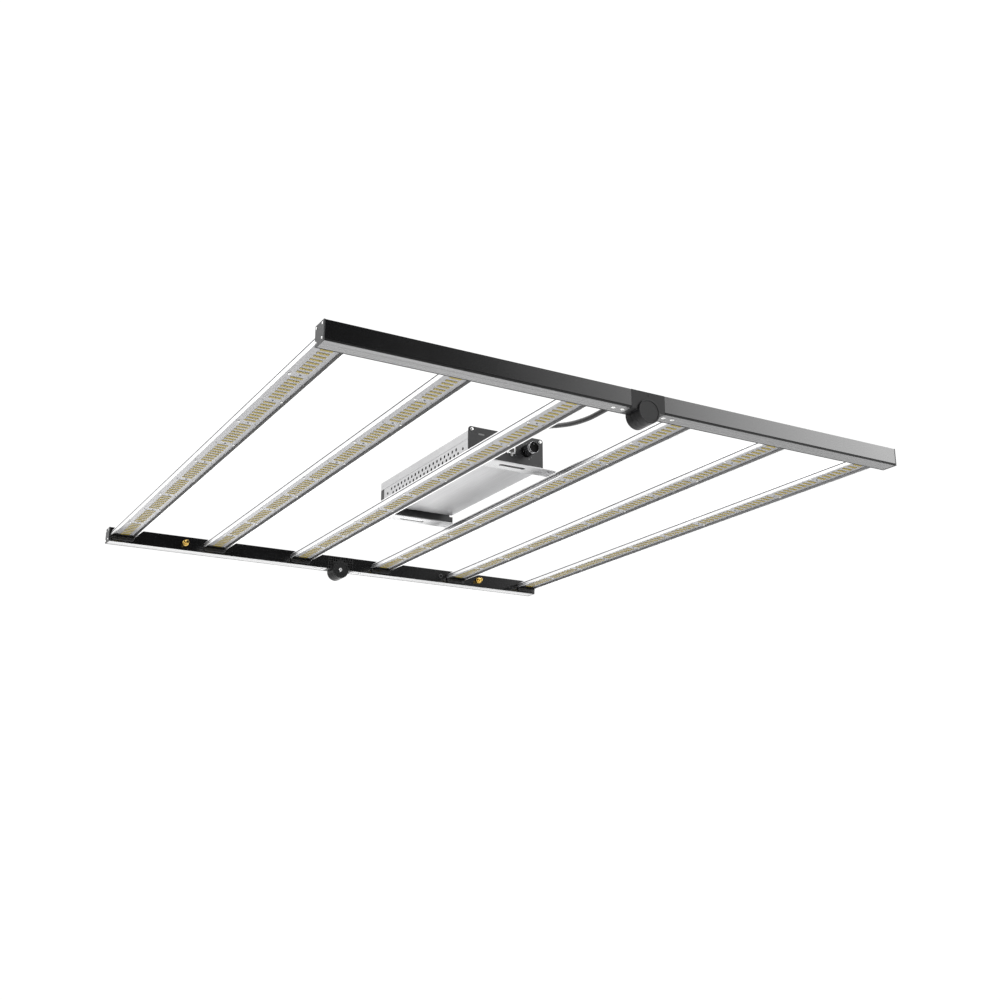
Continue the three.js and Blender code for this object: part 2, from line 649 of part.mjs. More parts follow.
for (const [sideY, end] of ENDS) {
  for (const [sideX, side] of SIDES) {
    const label = `${end}_${side}`;
    place(light, `${label}_rail`, rail(sideX, sideY), blackAnodised);
    place(light, `${label}_rail_cover`, railCover(sideX, sideY), brushedAluminium);
    place(light, `${label}_end_cap`, endCap(sideX, sideY), darkPaint);
    const stud = place(light, `${label}_hanging_stud`, hangingStud(), brass,
      sideX * STUD_X, sideY * RAIL_INNER_Y, STUD_Z);
    stud.rotation.z = sideY > 0 ? Math.PI : 0;
  }
  place(light, `${end}_left_hinge_leaf`, leftHingeLeaf(sideY), blackPlastic);
  place(light, `${end}_right_hinge_leaf`, rightHingeLeaf(sideY), blackPlastic);
  place(light, `${end}_hinge_pin`, hingePin(sideY), steel);
}

for (let index = 0; index < 6; index += 1) {
  const x = BAR_SHIFT + (index - 2.5) * BAR_PITCH;
  place(light, `heat_sink_bar_${index + 1}`, heatSink(), barAluminium, x, 0, BAR_LED_PLANE);
  place(light, `led_board_${index + 1}`, ledBoard(), boardWhite, x, 0, BAR_LED_PLANE);
}

const grommetMesh = place(light, 'far_right_grommet', grommet(), rubber, GROMMET_X, RAIL_INNER_Y, STUD_Z);
grommetMesh.rotation.z = Math.PI;
place(light, 'rail_cable_gland', gland(7, 20), blackPlastic, CABLE_X, -RAIL_INNER_Y, STUD_Z);
place(light, 'output_cable', outputCable(), rubber);

const driver = new THREE.Group();
driver.position.set(DRIVER_X, DRIVER_Y, BRACKET_BOTTOM);
light.add(driver);
place(driver, 'driver_tray', driverTray(), brushedAluminium);
place(driver, 'driver_cover', driverCover(), brushedAluminium);
place(driver, 'driver_near_end_plate', nearEndPlate(), darkPaint);
place(driver, 'driver_far_end_plate', farEndPlate(), darkPaint);
place(driver, 'near_driver_bracket', bracket(-1), brushedAluminium);
place(driver, 'far_driver_bracket', bracket(1), brushedAluminium);
place(driver, 'driver_circuit_board', circuitBoard(), circuitGreen);
place(driver, 'main_transformer', mainTransformer(), transformerTape, 0, 32, COMPONENT_BASE);
place(driver, 'filter_choke', filterChoke(), ferrite, 0, -90, COMPONENT_BASE);
place(driver, 'bulk_capacitor_1', bulkCapacitor(), capacitorSleeve, -30, 95, COMPONENT_BASE);
place(driver, 'bulk_capacitor_2', bulkCapacitor(), capacitorSleeve, -30, 125, COMPONENT_BASE);
place(driver, 'transistor_heat_spreader', heatSpreader(), brushedAluminium, 0, 0, COMPONENT_BASE);
place(driver, 'dimmer_potentiometer', potentiometer(), steel);
const knob = place(driver, 'dimmer_knob', dimmerKnob(), blackPlastic,
  KNOB_X, -DRIVER_HALF_LENGTH - 0.6, KNOB_Z);
knob.rotation.z = Math.PI;
place(driver, 'dimming_port', dimmingPort(), portGrey);
place(driver, 'mains_inlet', mainsInlet(), blackPlastic);
const outletGland = place(driver, 'driver_output_gland', gland(9, 22), blackPlastic,
  OUTLET_X, -DRIVER_HALF_LENGTH, OUTLET_Z);
outletGland.rotation.z = Math.PI;
place(driver, 'status_lens', statusLens(), portGrey, PORT_X + 1.5, -DRIVER_HALF_LENGTH - 2.6, PORT_Z - 9.6);

export default light;
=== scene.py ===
import math
import random

import bmesh
import bpy
from mathutils import Matrix, Vector


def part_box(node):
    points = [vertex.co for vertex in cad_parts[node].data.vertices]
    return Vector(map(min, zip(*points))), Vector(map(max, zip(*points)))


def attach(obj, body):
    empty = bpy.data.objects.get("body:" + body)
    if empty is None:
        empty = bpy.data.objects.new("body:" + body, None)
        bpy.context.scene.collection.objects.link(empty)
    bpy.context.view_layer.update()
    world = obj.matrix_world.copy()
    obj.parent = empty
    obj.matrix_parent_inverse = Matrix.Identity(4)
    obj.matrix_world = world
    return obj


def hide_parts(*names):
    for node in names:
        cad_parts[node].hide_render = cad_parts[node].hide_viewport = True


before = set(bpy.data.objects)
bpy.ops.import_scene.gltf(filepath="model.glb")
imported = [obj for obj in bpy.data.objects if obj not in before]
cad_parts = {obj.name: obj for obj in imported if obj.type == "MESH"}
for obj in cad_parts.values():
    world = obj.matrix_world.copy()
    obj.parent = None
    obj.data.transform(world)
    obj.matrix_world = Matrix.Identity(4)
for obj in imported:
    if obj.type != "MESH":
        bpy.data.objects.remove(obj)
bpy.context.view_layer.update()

MM = 0.001
scene = bpy.context.scene
rng = random.Random(7)

LEFT, RIGHT, KNOB = "left_half", "right_half", "dimmer_knob"
BODY_OF_SIDE = {-1: LEFT, 1: RIGHT}
SIDES = ((-1, "left"), (1, "right"))
ENDS = ((-1, "near"), (1, "far"))
# Distances of the rails' outer and inner faces from the middle, and the clearance between close pieces
RAIL_OUTER_Y, RAIL_INNER_Y = 603.0, 573.0
GAP = 0.3


def mm_box(node):
    """Lowest and highest corner of a CAD node, in millimetres."""
    low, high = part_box(node)
    return low / MM, high / MM


def box_middle(node, y):
    """Middle of a node's box seen along Y, put at a given y."""
    middle = sum(mm_box(node), Vector()) / 2
    middle.y = y
    return middle


def new_object(name, data):
    obj = bpy.data.objects.new(name, data)
    scene.collection.objects.link(obj)
    return obj


# Camera

def make_camera():
    data = bpy.data.cameras.new("camera")
    data.sensor_width = 36.0
    data.lens = 44.45
    data.clip_start = 0.02
    data.clip_end = 200.0
    camera = new_object("camera", data)
    camera.location = (-1.0582, -1.9921, -0.6878)
    camera.rotation_mode = "QUATERNION"
    camera.rotation_quaternion = Vector((0.47872, 0.82973, 0.28700)).to_track_quat("-Z", "Y")
    scene.camera = camera


make_camera()


# Output lead, the only cord: the same route as its CAD solid

CABLE_DIAMETER = 8.0
CABLE_ROUTE = [
    (-37, -180.5, 30), (-37, -209, 30), (-37, -237, 30), (-37, -262, 29.6), (-37, -290, 27.8),
    (-37, -318, 23.8), (-37, -350, 17.6), (-37, -383, 9), (-37, -415, 0.3), (-37, -447, -7.2),
    (-37, -476, -12), (-37, -503, -14.6), (-37, -528, -15), (-37, -552, -15), (-37, -580, -15),
]


def smooth_route(points, steps):
    """Catmull-Rom line through the points."""
    line = []
    last = len(points) - 1
    for i in range(last):
        a, b, c, d = (Vector(points[max(0, min(last, i + k))]) for k in (-1, 0, 1, 2))
        for s in range(steps):
            t = s / steps
            line.append(0.5 * ((2 * b) + (c - a) * t + (2 * a - 5 * b + 4 * c - d) * t * t
                               + (3 * b - a - 3 * c + d) * t ** 3))
    line.append(Vector(points[-1]))
    return line


def make_cable():
    line = [p * MM for p in smooth_route(CABLE_ROUTE, 6)]
    curve = bpy.data.curves.new("output_lead", "CURVE")
    curve.dimensions = "3D"
    curve.bevel_depth = 1.0
    curve.bevel_resolution = 7
    curve.use_fill_caps = True
    spline = curve.splines.new("POLY")
    spline.points.add(len(line) - 1)
    for point, place in zip(spline.points, line):
        point.co = (*place, 1.0)
        point.radius = CABLE_DIAMETER / 2 * MM
    spline.use_smooth = True
    lead = new_object("output_lead", curve)
    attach(lead, LEFT)
    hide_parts("output_cable")
    return lead


output_lead = make_cable()


# Materials

WHITE = (1.0, 1.0, 1.0)


def add_node(tree, kind, values, **settings):
    """Adds a node with its settings, and a value or a link for each named input."""
    node = tree.nodes.new(kind)
    for name, value in settings.items():
        setattr(node, name, value)
    for name, value in values.items():
        if isinstance(value, bpy.types.NodeSocket):
            tree.links.new(value, node.inputs[name])
        else:
            node.inputs[name].default_value = value
    return node


def add_ramp(tree, value, stops):
    """Colours spread over a value; each stop is (place, color)."""
    ramp = add_node(tree, "ShaderNodeValToRGB", {"Fac": value})
    elements = ramp.color_ramp.elements
    elements.remove(elements[1])
    for k, (place, color) in enumerate(stops):
        stop = elements.new(place) if k else elements[0]
        stop.position = place
        stop.color = (*color, 1.0)
    return ramp.outputs["Color"]


def add_mix(tree, kind, amount, a, b):
    return add_node(tree, "ShaderNodeMix", {"Factor": amount, "A": a, "B": b},
                    data_type="RGBA", blend_type=kind).outputs["Result"]


def shades(color, *factors):
    """The colour made darker or lighter by each factor."""
    return [tuple(min(1.0, c * factor) for c in color) for factor in factors]


def grain(along, length, across):
    """Noise scales of a grain that runs along one axis."""
    return tuple(length if axis == along else across for axis in "XYZ")


class Tree:
    """A node material made a layer at a time."""

    def __init__(self, name, color, roughness, metallic=0.0, shine=0.5):
        self.material = bpy.data.materials.new(name)
        self.material.use_nodes = True
        self.tree = self.material.node_tree
        self.shader = self.tree.nodes["Principled BSDF"]
        values = {"Base Color": (*color, 1.0), "Roughness": roughness, "Metallic": metallic,
                  "Specular IOR Level": shine}
        for socket, value in values.items():
            self.shader.inputs[socket].default_value = value
        self.height = None
        self.position = add_node(self.tree, "ShaderNodeTexCoord", {}).outputs["Object"]

    def noise(self, scale, detail=3.0):
        """Noise with one scale or three, in cycles per metre."""
        scales = scale if isinstance(scale, tuple) else (scale,) * 3
        mapping = add_node(self.tree, "ShaderNodeMapping", {"Scale": scales, "Vector": self.position})
        values = {"Scale": 1.0, "Detail": detail, "Vector": mapping.outputs["Vector"]}
        return add_node(self.tree, "ShaderNodeTexNoise", values).outputs["Fac"]

    def spots(self, scale, size):
        """Small round spots, 1 in the middle and 0 outside."""
        voronoi = add_node(self.tree, "ShaderNodeTexVoronoi", {"Scale": scale, "Vector": self.position})
        return self.spread(voronoi.outputs["Distance"], 0.0, size, 1.0, 0.0)

    def spread(self, value, low, high, to_low, to_high):
        values = {"Value": value, "From Min": low, "From Max": high, "To Min": to_low, "To Max": to_high}
        return add_node(self.tree, "ShaderNodeMapRange", values).outputs["Result"]

    def mix(self, kind, a, b):
        return add_mix(self.tree, kind, 1.0, a, b)

    def color(self, value, dark, light, low=0.3, high=0.7):
        return add_ramp(self.tree, value, [(low, dark), (high, light)])

    def paint(self, color):
        self.tree.links.new(color, self.shader.inputs["Base Color"])

    def rough(self, value, low, high):
        self.tree.links.new(self.spread(value, 0.25, 0.75, low, high), self.shader.inputs["Roughness"])

    def bump(self, value, depth, strength):
        """Adds a relief of that depth, in metres."""
        values = {"Distance": depth, "Strength": strength, "Height": value}
        if self.height is not None:
            values["Normal"] = self.height
        self.height = add_node(self.tree, "ShaderNodeBump", values).outputs["Normal"]
        self.tree.links.new(self.height, self.shader.inputs["Normal"])


def metal_sheet(name, color, along, roughness):
    """Brushed sheet with its grain along one axis."""
    tree = Tree(name, color, roughness, 1.0)
    fine = tree.noise(grain(along, 14.0, 2600.0), 4.0)
    broad = tree.noise(grain(along, 3.0, 260.0), 2.0)
    soft = tree.color(tree.noise(9.0, 2.0), *shades(WHITE, 0.93, 1.0))
    tree.paint(tree.mix("MULTIPLY", tree.color(fine, *shades(color, 0.86, 1.08)), soft))
    tree.rough(broad, roughness - 0.06, roughness + 0.08)
    tree.bump(fine, 0.00004, 0.35)
    return tree.material


def extruded_metal(name, color, along, roughness, metallic=1.0, contrast=0.1, shine=0.5):
    """Anodised extrusion: faint die lines along its length and a soft cloud over it."""
    tree = Tree(name, color, roughness, metallic, shine)
    lines = tree.noise(grain(along, 1.2, 420.0), 2.0)
    cloud = tree.noise(6.0)
    streaks = tree.color(lines, *shades(color, 1.0 - contrast, 1.0 + contrast))
    tree.paint(tree.mix("MULTIPLY", streaks, tree.color(cloud, *shades(WHITE, 0.95, 1.0))))
    tree.rough(cloud, roughness - 0.03, roughness + 0.05)
    tree.bump(lines, 0.00003, 0.15)
    return tree.material


def moulded_plastic(name, color, roughness, relief=0.00003, shine=0.5):
    """Fine spark-eroded mould texture."""
    tree = Tree(name, color, roughness, 0.0, shine)
    cloud = tree.noise(40.0)
    tree.paint(tree.color(cloud, *shades(color, 0.8, 1.25)))
    tree.rough(cloud, roughness - 0.05, roughness + 0.07)
    tree.bump(tree.noise(2600.0), relief, 0.5)
    return tree.material


def textured_paint(name, color, roughness):
    """Powder coat with a pebbled skin and pale specks."""
    tree = Tree(name, color, roughness)
    pebble = tree.noise(900.0, 4.0)
    base = tree.color(tree.noise(30.0, 2.0), *shades(color, 0.9, 1.12))
    pale = tree.color(tree.spots(1100.0, 0.22), *shades(color, 0.0, 0.8), 0.2, 0.9)
    tree.paint(tree.mix("ADD", base, pale))
    tree.rough(pebble, roughness - 0.08, roughness + 0.1)
    tree.bump(pebble, 0.00008, 0.6)
    return tree.material


def plain_metal(name, color, roughness, relief=0.00001):
    """Bright turned or pressed metal."""
    tree = Tree(name, color, roughness, 1.0)
    cloud = tree.noise(120.0)
    tree.paint(tree.color(cloud, *shades(color, 0.85, 1.0)))
    tree.rough(cloud, max(0.03, roughness - 0.05), roughness + 0.06)
    tree.bump(tree.noise(1800.0), relief, 0.3)
    return tree.material


def solder_mask(name, color):
    """Pale glossy board coating with faint copper shapes showing under it."""
    tree = Tree(name, color, 0.32)
    cloud = tree.noise((25.0, 4.0, 25.0))
    copper = tree.noise((160.0, 28.0, 1.0), 1.0)
    under = tree.color(copper, *shades(WHITE, 0.94, 1.0), 0.47, 0.52)
    tree.paint(tree.mix("MULTIPLY", tree.color(cloud, *shades(color, 0.95, 1.0)), under))
    tree.rough(cloud, 0.26, 0.36)
    tree.bump(copper, 0.00002, 0.1)
    tree.bump(tree.noise(1500.0, 2.0), 0.00001, 0.1)
    return tree.material


def phosphor(name, color):
    """Yellow silicone over the chips, mottled by its powder."""
    tree = Tree(name, color, 0.45)
    powder = tree.noise(2400.0, 4.0)
    drift = tree.noise(60.0, 2.0)
    tone = tree.color(drift, (0.9, 0.88, 0.8), WHITE)
    tree.paint(tree.mix("MULTIPLY", tree.color(powder, *shades(color, 0.92, 1.05)), tone))
    tree.rough(drift, 0.4, 0.55)
    tree.bump(powder, 0.00002, 0.2)
    return tree.material


def rubber(name, color):
    """Dull rubber with light scuffs."""
    tree = Tree(name, color, 0.55)
    scuff = tree.noise(50.0, 4.0)
    tree.paint(tree.color(scuff, *shades(color, 0.7, 1.5)))
    tree.rough(scuff, 0.42, 0.6)
    tree.bump(tree.noise((1500.0, 400.0, 1500.0)), 0.00003, 0.5)
    return tree.material


def laminate(name, color):
    """Circuit board: green mask over a woven glass laminate."""
    tree = Tree(name, color, 0.4)
    traces = tree.noise((90.0, 240.0, 1.0), 0.0)
    tree.paint(tree.color(traces, *shades(color, 0.75, 1.3), 0.48, 0.52))
    tree.rough(tree.noise((1400.0, 1400.0, 30.0), 1.0), 0.3, 0.45)
    tree.bump(traces, 0.00004, 0.5)
    return tree.material


def wound_tape(name, color):
    """Tape wound round in layers."""
    tree = Tree(name, color, 0.45)
    bands = tree.noise((4.0, 4.0, 900.0), 2.0)
    tree.paint(tree.color(bands, *shades(color, 0.7, 1.0)))
    tree.rough(bands, 0.35, 0.55)
    tree.bump(bands, 0.00008, 0.5)
    return tree.material



RAIL_BLACK = extruded_metal("rail_black", (0.004, 0.004, 0.0044), "X", 0.15, 0.0, 0.08, 1.0)
# Dull, barely reflecting black for the rail's lowest strip: painted shade along its bottom edge
RAIL_EDGE_SHADE = extruded_metal("rail_edge_shade", (0.006, 0.006, 0.006), "X", 0.5, 0.0, 0.08, 0.15)
COVER_METAL = metal_sheet("cover_metal", (0.27, 0.27, 0.272), "X", 0.25)
BRACKET_METAL = metal_sheet("bracket_metal", (0.60, 0.60, 0.605), "X", 0.3)
CASE_METAL = metal_sheet("case_metal", (0.55, 0.55, 0.555), "Y", 0.36)
# Near-black lining for the inside of the tray: painted shade that makes the air holes look dark
PAINTED_CASE_SHADE = moulded_plastic("case_inside_painted_shade", (0.012, 0.012, 0.013), 0.7, shine=0.1)
BAR_METAL = extruded_metal("bar_metal", (0.93, 0.93, 0.935), "Y", 0.3, contrast=0.04)
# Darker satin for the bars' lip slopes and side grooves: painted shade and painted dark reflection, not a
# different finish
LIP_PAINTED_SHADE = extruded_metal("lip_painted_shade", (0.27, 0.27, 0.272), "Y", 0.45, contrast=0.05)
GROOVE_PAINTED_SHADE = extruded_metal("groove_painted_shade", (0.30, 0.30, 0.305), "Y", 0.45, contrast=0.05)
BOARD_MASK = solder_mask("board_mask", (0.335, 0.335, 0.342))
HINGE_PLASTIC = moulded_plastic("hinge_plastic", (0.011, 0.011, 0.0115), 0.42, shine=0.22)
SADDLE_PLASTIC = moulded_plastic("saddle_plastic", (0.010, 0.010, 0.011), 0.34)
GLAND_PLASTIC = moulded_plastic("gland_plastic", (0.007, 0.007, 0.0075), 0.38, shine=0.3)
INLET_PLASTIC = moulded_plastic("inlet_plastic", (0.014, 0.014, 0.015), 0.4)
CAP_PAINT = textured_paint("cap_paint", (0.030, 0.030, 0.031), 0.5)
PLATE_PAINT_AND_SLOT_SHADE = textured_paint("plate_paint_and_slot_shade", (0.020, 0.020, 0.021), 0.45)
STEEL = plain_metal("screw_steel", (0.93, 0.93, 0.92), 0.3)
BLACK_SCREW = moulded_plastic("black_screw", (0.010, 0.010, 0.010), 0.35, 0.00001)
DARK_STEEL = plain_metal("dark_steel", (0.35, 0.35, 0.36), 0.35)
PIN_STEEL = plain_metal("pin_steel", (0.9, 0.9, 0.9), 0.35)
CHROME = plain_metal("knob_chrome", (0.62, 0.62, 0.63), 0.14)
KNOB_FACE = moulded_plastic("knob_face", (0.004, 0.004, 0.004), 0.3, 0.00001, 0.06)
BRASS = plain_metal("stud_brass", (0.86, 0.58, 0.16), 0.2)
LEAD_RUBBER = rubber("lead_rubber", (0.006, 0.006, 0.0065))
GROMMET_RUBBER = rubber("grommet_rubber", (0.009, 0.009, 0.010))
PORT_SHELL = plain_metal("port_shell", (0.93, 0.93, 0.93), 0.4)
PORT_PINS = plain_metal("port_pins", (0.85, 0.82, 0.74), 0.3)
LENS = moulded_plastic("lens_pale", (0.72, 0.72, 0.70), 0.25, 0.00001)
PRINT = moulded_plastic("printed_ink", (0.22, 0.22, 0.22), 0.5, 0.00001)
PHOSPHOR = phosphor("phosphor", (0.34, 0.26, 0.022))
PACKAGE = phosphor("package_frame", (0.36, 0.27, 0.026))
SOLDER = plain_metal("solder", (0.40, 0.40, 0.40), 0.5, 0.00003)
CHIP = moulded_plastic("chip_body", (0.045, 0.055, 0.10), 0.4, 0.00001)
CIRCUIT = laminate("circuit_mask", (0.02, 0.13, 0.055))
TAPE = wound_tape("winding_tape", (0.55, 0.36, 0.06))
FERRITE = moulded_plastic("ferrite_grey", (0.035, 0.034, 0.036), 0.6, 0.00006)
SLEEVE = moulded_plastic("capacitor_film", (0.02, 0.024, 0.035), 0.25, 0.00001)
output_lead.data.materials.append(LEAD_RUBBER)


# Mesh tools. Shapes are drawn in millimetres in a local (u, v, w) frame and put in place by a matrix.

def axis_frame(axis, origin=(0, 0, 0)):
    """w along the axis; u and v are the other two row axes in order."""
    units = [Vector((1, 0, 0)), Vector((0, 1, 0)), Vector((0, 0, 1))]
    along = units.pop("XYZ".index(axis[-1])) * (-1 if axis[0] == "-" else 1)
    matrix = Matrix((*units, along)).transposed().to_4x4()
    matrix.translation = Vector(origin)
    return matrix


def counter_clockwise(points):
    area = sum(a[0] * b[1] - b[0] * a[1] for a, b in zip(points, points[1:] + points[:1]))
    return points if area > 0 else points[::-1]


def soften(points, steps=3):
    """Rounds the corners of an outline; each point is (u, v, radius)."""
    line = []
    for i, (u, v, radius) in enumerate(points):
        corner = Vector((u, v))
        before = Vector(points[i - 1][:2]) - corner
        after = Vector(points[(i + 1) % len(points)][:2]) - corner
        reach = min(radius, before.length * 0.48, after.length * 0.48)
        if reach < 0.01:
            line.append((u, v))
            continue
        start, end = corner + before.normalized() * reach, corner + after.normalized() * reach
        for step in range(steps + 1):
            t = step / steps
            p = start * (1 - t) ** 2 + corner * 2 * t * (1 - t) + end * t * t
            line.append((p.x, p.y))
    return line


def offset(points, distance):
    """Moves a counter-clockwise outline outwards."""
    if not distance:
        return points
    moved = []
    for i, point in enumerate(points):
        here = Vector(point)
        into = (here - Vector(points[i - 1])).normalized()
        out = (Vector(points[(i + 1) % len(points)]) - here).normalized()
        normals = Vector((into.y, -into.x)), Vector((out.y, -out.x))
        total = normals[0] + normals[1]
        shift = total * (distance / max(0.4, 1 + normals[0].dot(normals[1])))
        moved.append((here.x + shift.x, here.y + shift.y))
    return moved


def circle(u, v, radius, segments=24, cut=0.0):
    """Circle with every second point sunk by a cut."""
    points = []
    for k in range(segments):
        angle, r = 2 * math.pi * k / segments, radius - cut * (k % 2)
        points.append((u + r * math.cos(angle), v + r * math.sin(angle)))
    return points


def rectangle(u0, u1, v0, v1, radius=0.0, steps=4):
    return soften([(u0, v0, radius), (u1, v0, radius), (u1, v1, radius), (u0, v1, radius)], steps)


def slot_outline(u, v, length, width, steps=12):
    radius = width / 2
    reach = length / 2 - radius
    points = []
    for end in (1, -1):
        for step in range(steps + 1):
            angle = (step / steps - 0.5) * math.pi
            points.append((u + end * (reach + radius * math.cos(angle)), v + end * radius * math.sin(angle)))
    return points


def ring_of(bm, points, w, place):
    return [bm.verts.new(place @ Vector((u, v, w))) for u, v in points]


def join_rings(bm, a, b, index=0):
    count = len(a)
    for k in range(count):
        face = bm.faces.new((a[k], a[(k + 1) % count], b[(k + 1) % count], b[k]))
        face.material_index = index


def cap(bm, rings, index=0):
    """Fills an outline, less the holes in it."""
    if len(rings) == 1:
        bm.faces.new(rings[0]).material_index = index
        return
    edges = []
    for ring in rings:
        for a, b in zip(ring, ring[1:] + ring[:1]):
            edges.append(bm.edges.get((a, b)) or bm.edges.new((a, b)))
    made = bmesh.ops.triangle_fill(bm, edges=edges, use_beauty=True)
    for item in made["geom"]:
        if isinstance(item, bmesh.types.BMFace):
            item.material_index = index


def add_prism(bm, outline, low, high, place, edge=0.0, holes=(), index=0):
    """Extrusion from w = low to high with its end edges chamfered, and with holes right through."""
    levels = [(0.0, low), (0.0, high)]
    if edge:
        levels = [(edge, low), (0.0, low + edge), (0.0, high - edge), (edge, high)]
    first, last = [], []
    loops = [(counter_clockwise(outline), -1)] + [(counter_clockwise(hole), 1) for hole in holes]
    for loop, way in loops:
        rings = [ring_of(bm, offset(loop, way * inset), w, place) for inset, w in levels]
        for a, b in zip(rings, rings[1:]):
            join_rings(bm, a, b, index)
        first.append(rings[0])
        last.append(rings[-1])
    cap(bm, first, index)
    cap(bm, last, index)


def add_turned(bm, profile, place, segments=48, closed=False, ridges=None, index=0):
    """Turns a profile of (radius, w) about w. ridges = (low w, high w, depth) flutes one stretch."""
    rings = []
    for radius, w in profile:
        cut = ridges[2] if ridges and ridges[0] <= w <= ridges[1] else 0.0
        outline = circle(0, 0, radius, segments, cut) if radius else [(0, 0)]
        rings.append(ring_of(bm, outline, w, place))
    pairs = list(zip(rings, rings[1:]))
    if closed:
        pairs.append((rings[-1], rings[0]))
    for a, b in pairs:
        if len(a) == 1 or len(b) == 1:
            tip, ring = (a[0], b) if len(a) == 1 else (b[0], a)
            for k in range(len(ring)):
                bm.faces.new((tip, ring[k], ring[(k + 1) % len(ring)])).material_index = index
        else:
            join_rings(bm, a, b, index)


def cross_outline(reach, width):
    h = width / 2
    return [(h, -reach), (h, -h), (reach, -h), (reach, h), (h, h), (h, reach),
            (-h, reach), (-h, h), (-reach, h), (-reach, -h), (-h, -h), (-h, -reach)]


def add_screw(bm, place, radius, height, segments=24, index=0):
    """Pan-head screw with a cross recess; w = 0 is the face it sits on."""
    turn = Matrix.Rotation(rng.uniform(0, math.pi / 2), 4, "Z")
    place = place @ turn
    profile = [(radius, 0.0), (radius, height * 0.35), (radius * 0.93, height * 0.68),
               (radius * 0.78, height * 0.9), (radius * 0.6, height)]
    rings = [ring_of(bm, circle(0, 0, r, segments), w, place) for r, w in profile]
    for a, b in zip(rings, rings[1:]):
        join_rings(bm, a, b, index)
    cap(bm, [rings[0]], index)
    mouth = cross_outline(radius * 0.45, radius * 0.2)
    rim = ring_of(bm, mouth, height, place)
    floor = ring_of(bm, offset(mouth, -radius * 0.02), height * 0.4, place)
    cap(bm, [rings[-1], rim], index)
    join_rings(bm, rim, floor, index)
    cap(bm, [floor], index)


def add_block(bm, u0, u1, v0, v1, w0, w1, place, edge=0.2, radius=0.0, index=0):
    outline = rectangle(u0, u1, v0, v1, radius) if radius else [(u0, v0), (u1, v0), (u1, v1), (u0, v1)]
    add_prism(bm, outline, w0, w1, place, edge, index=index)


def new_mesh(bm, name, scale=1.0):
    bmesh.ops.scale(bm, vec=(scale,) * 3, verts=bm.verts)
    mesh = bpy.data.meshes.new(name)
    bm.to_mesh(mesh)
    bm.free()
    return mesh


def mark_edges(bm, sharp):
    """Smooth faces, with sharp edges where they meet at more than that many degrees."""
    for face in bm.faces:
        face.smooth = True
    for edge in bm.edges:
        edge.smooth = len(edge.link_faces) != 2 or edge.calc_face_angle(0.0) < math.radians(sharp)


def to_mesh(bm, name, sharp=32.0, outward=None):
    """Closes the seams, turns the faces outwards and changes millimetres to metres."""
    bmesh.ops.remove_doubles(bm, verts=bm.verts, dist=1e-5)
    bmesh.ops.recalc_face_normals(bm, faces=bm.faces)
    if outward is not None and not outward(bm):
        bmesh.ops.reverse_faces(bm, faces=bm.faces)
    mark_edges(bm, sharp)
    return new_mesh(bm, name, MM)


def level_normals(obj):
    """Shades the large flat faces flat, and leaves the blending to the small ones beside them."""
    normals = obj.modifiers.new("flat_normals", "WEIGHTED_NORMAL")
    normals.keep_sharp = True
    normals.weight = 50


def add_piece(name, shape, materials, body, replaced=(), sharp=32.0):
    """Puts a mesh, or one made from a bmesh, in the scene as a piece on a body."""
    mesh = shape if isinstance(shape, bpy.types.Mesh) else to_mesh(shape, name, sharp)
    piece = new_object(name, mesh)
    level_normals(piece)
    for material in materials:
        mesh.materials.append(material)
    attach(piece, body)
    if replaced:
        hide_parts(*replaced)
    return piece


def bevel(obj, width, angle=35.0):
    """Rounds the edges sharper than an angle in degrees."""
    modifier = obj.modifiers.new("edge_round", "BEVEL")
    modifier.width = width * MM
    modifier.segments = 2
    modifier.limit_method = "ANGLE"
    modifier.angle_limit = math.radians(angle)
    modifier.use_clamp_overlap = False
    modifier.harden_normals = False
    level_normals(obj)


def dress(node, material, bevel_width=0.0):
    """Gives a carried CAD node its material and rounded edges."""
    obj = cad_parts[node]
    obj.data.materials.clear()
    obj.data.materials.append(material)
    if bevel_width:
        bevel(obj, bevel_width)


# Rails

RAIL_WALL = 1.6
LEDGE_LOW, LEDGE_HIGH = 2.5, 4.0
RAIL_EDGE_HEIGHT = 3.4


def rail_outline(side_y, low, high):
    """C section open downwards, with ledges for the cover and a groove low on the outer side."""
    size = high.y - low.y
    bottom, top = low.z, high.z
    w, inner = RAIL_WALL, size - RAIL_WALL
    ledge, low_ledge, high_ledge = w + 2.5, bottom + LEDGE_LOW, bottom + LEDGE_HIGH
    corner, small = 0.9, 0.25
    points = [
        (0, bottom, small), (w, bottom, small), (w, low_ledge, 0.1), (ledge, low_ledge, small),
        (ledge, high_ledge, small), (w, high_ledge, 0.1), (w, top - w, 0.5), (inner, top - w, 0.5),
        (inner, high_ledge, 0.1), (size - ledge, high_ledge, small), (size - ledge, low_ledge, small),
        (inner, low_ledge, 0.1), (inner, bottom, small), (size, bottom, small), (size, top, corner),
        (0, top, corner), (0, bottom + 3.2, 0.15), (0.45, bottom + 3.0, 0.1), (0.45, bottom + 2.4, 0.1),
        (0, bottom + 2.2, 0.15),
    ]
    outer_y = low.y if side_y < 0 else high.y
    return soften([(outer_y - side_y * depth, z, r) for depth, z, r in points], 3)


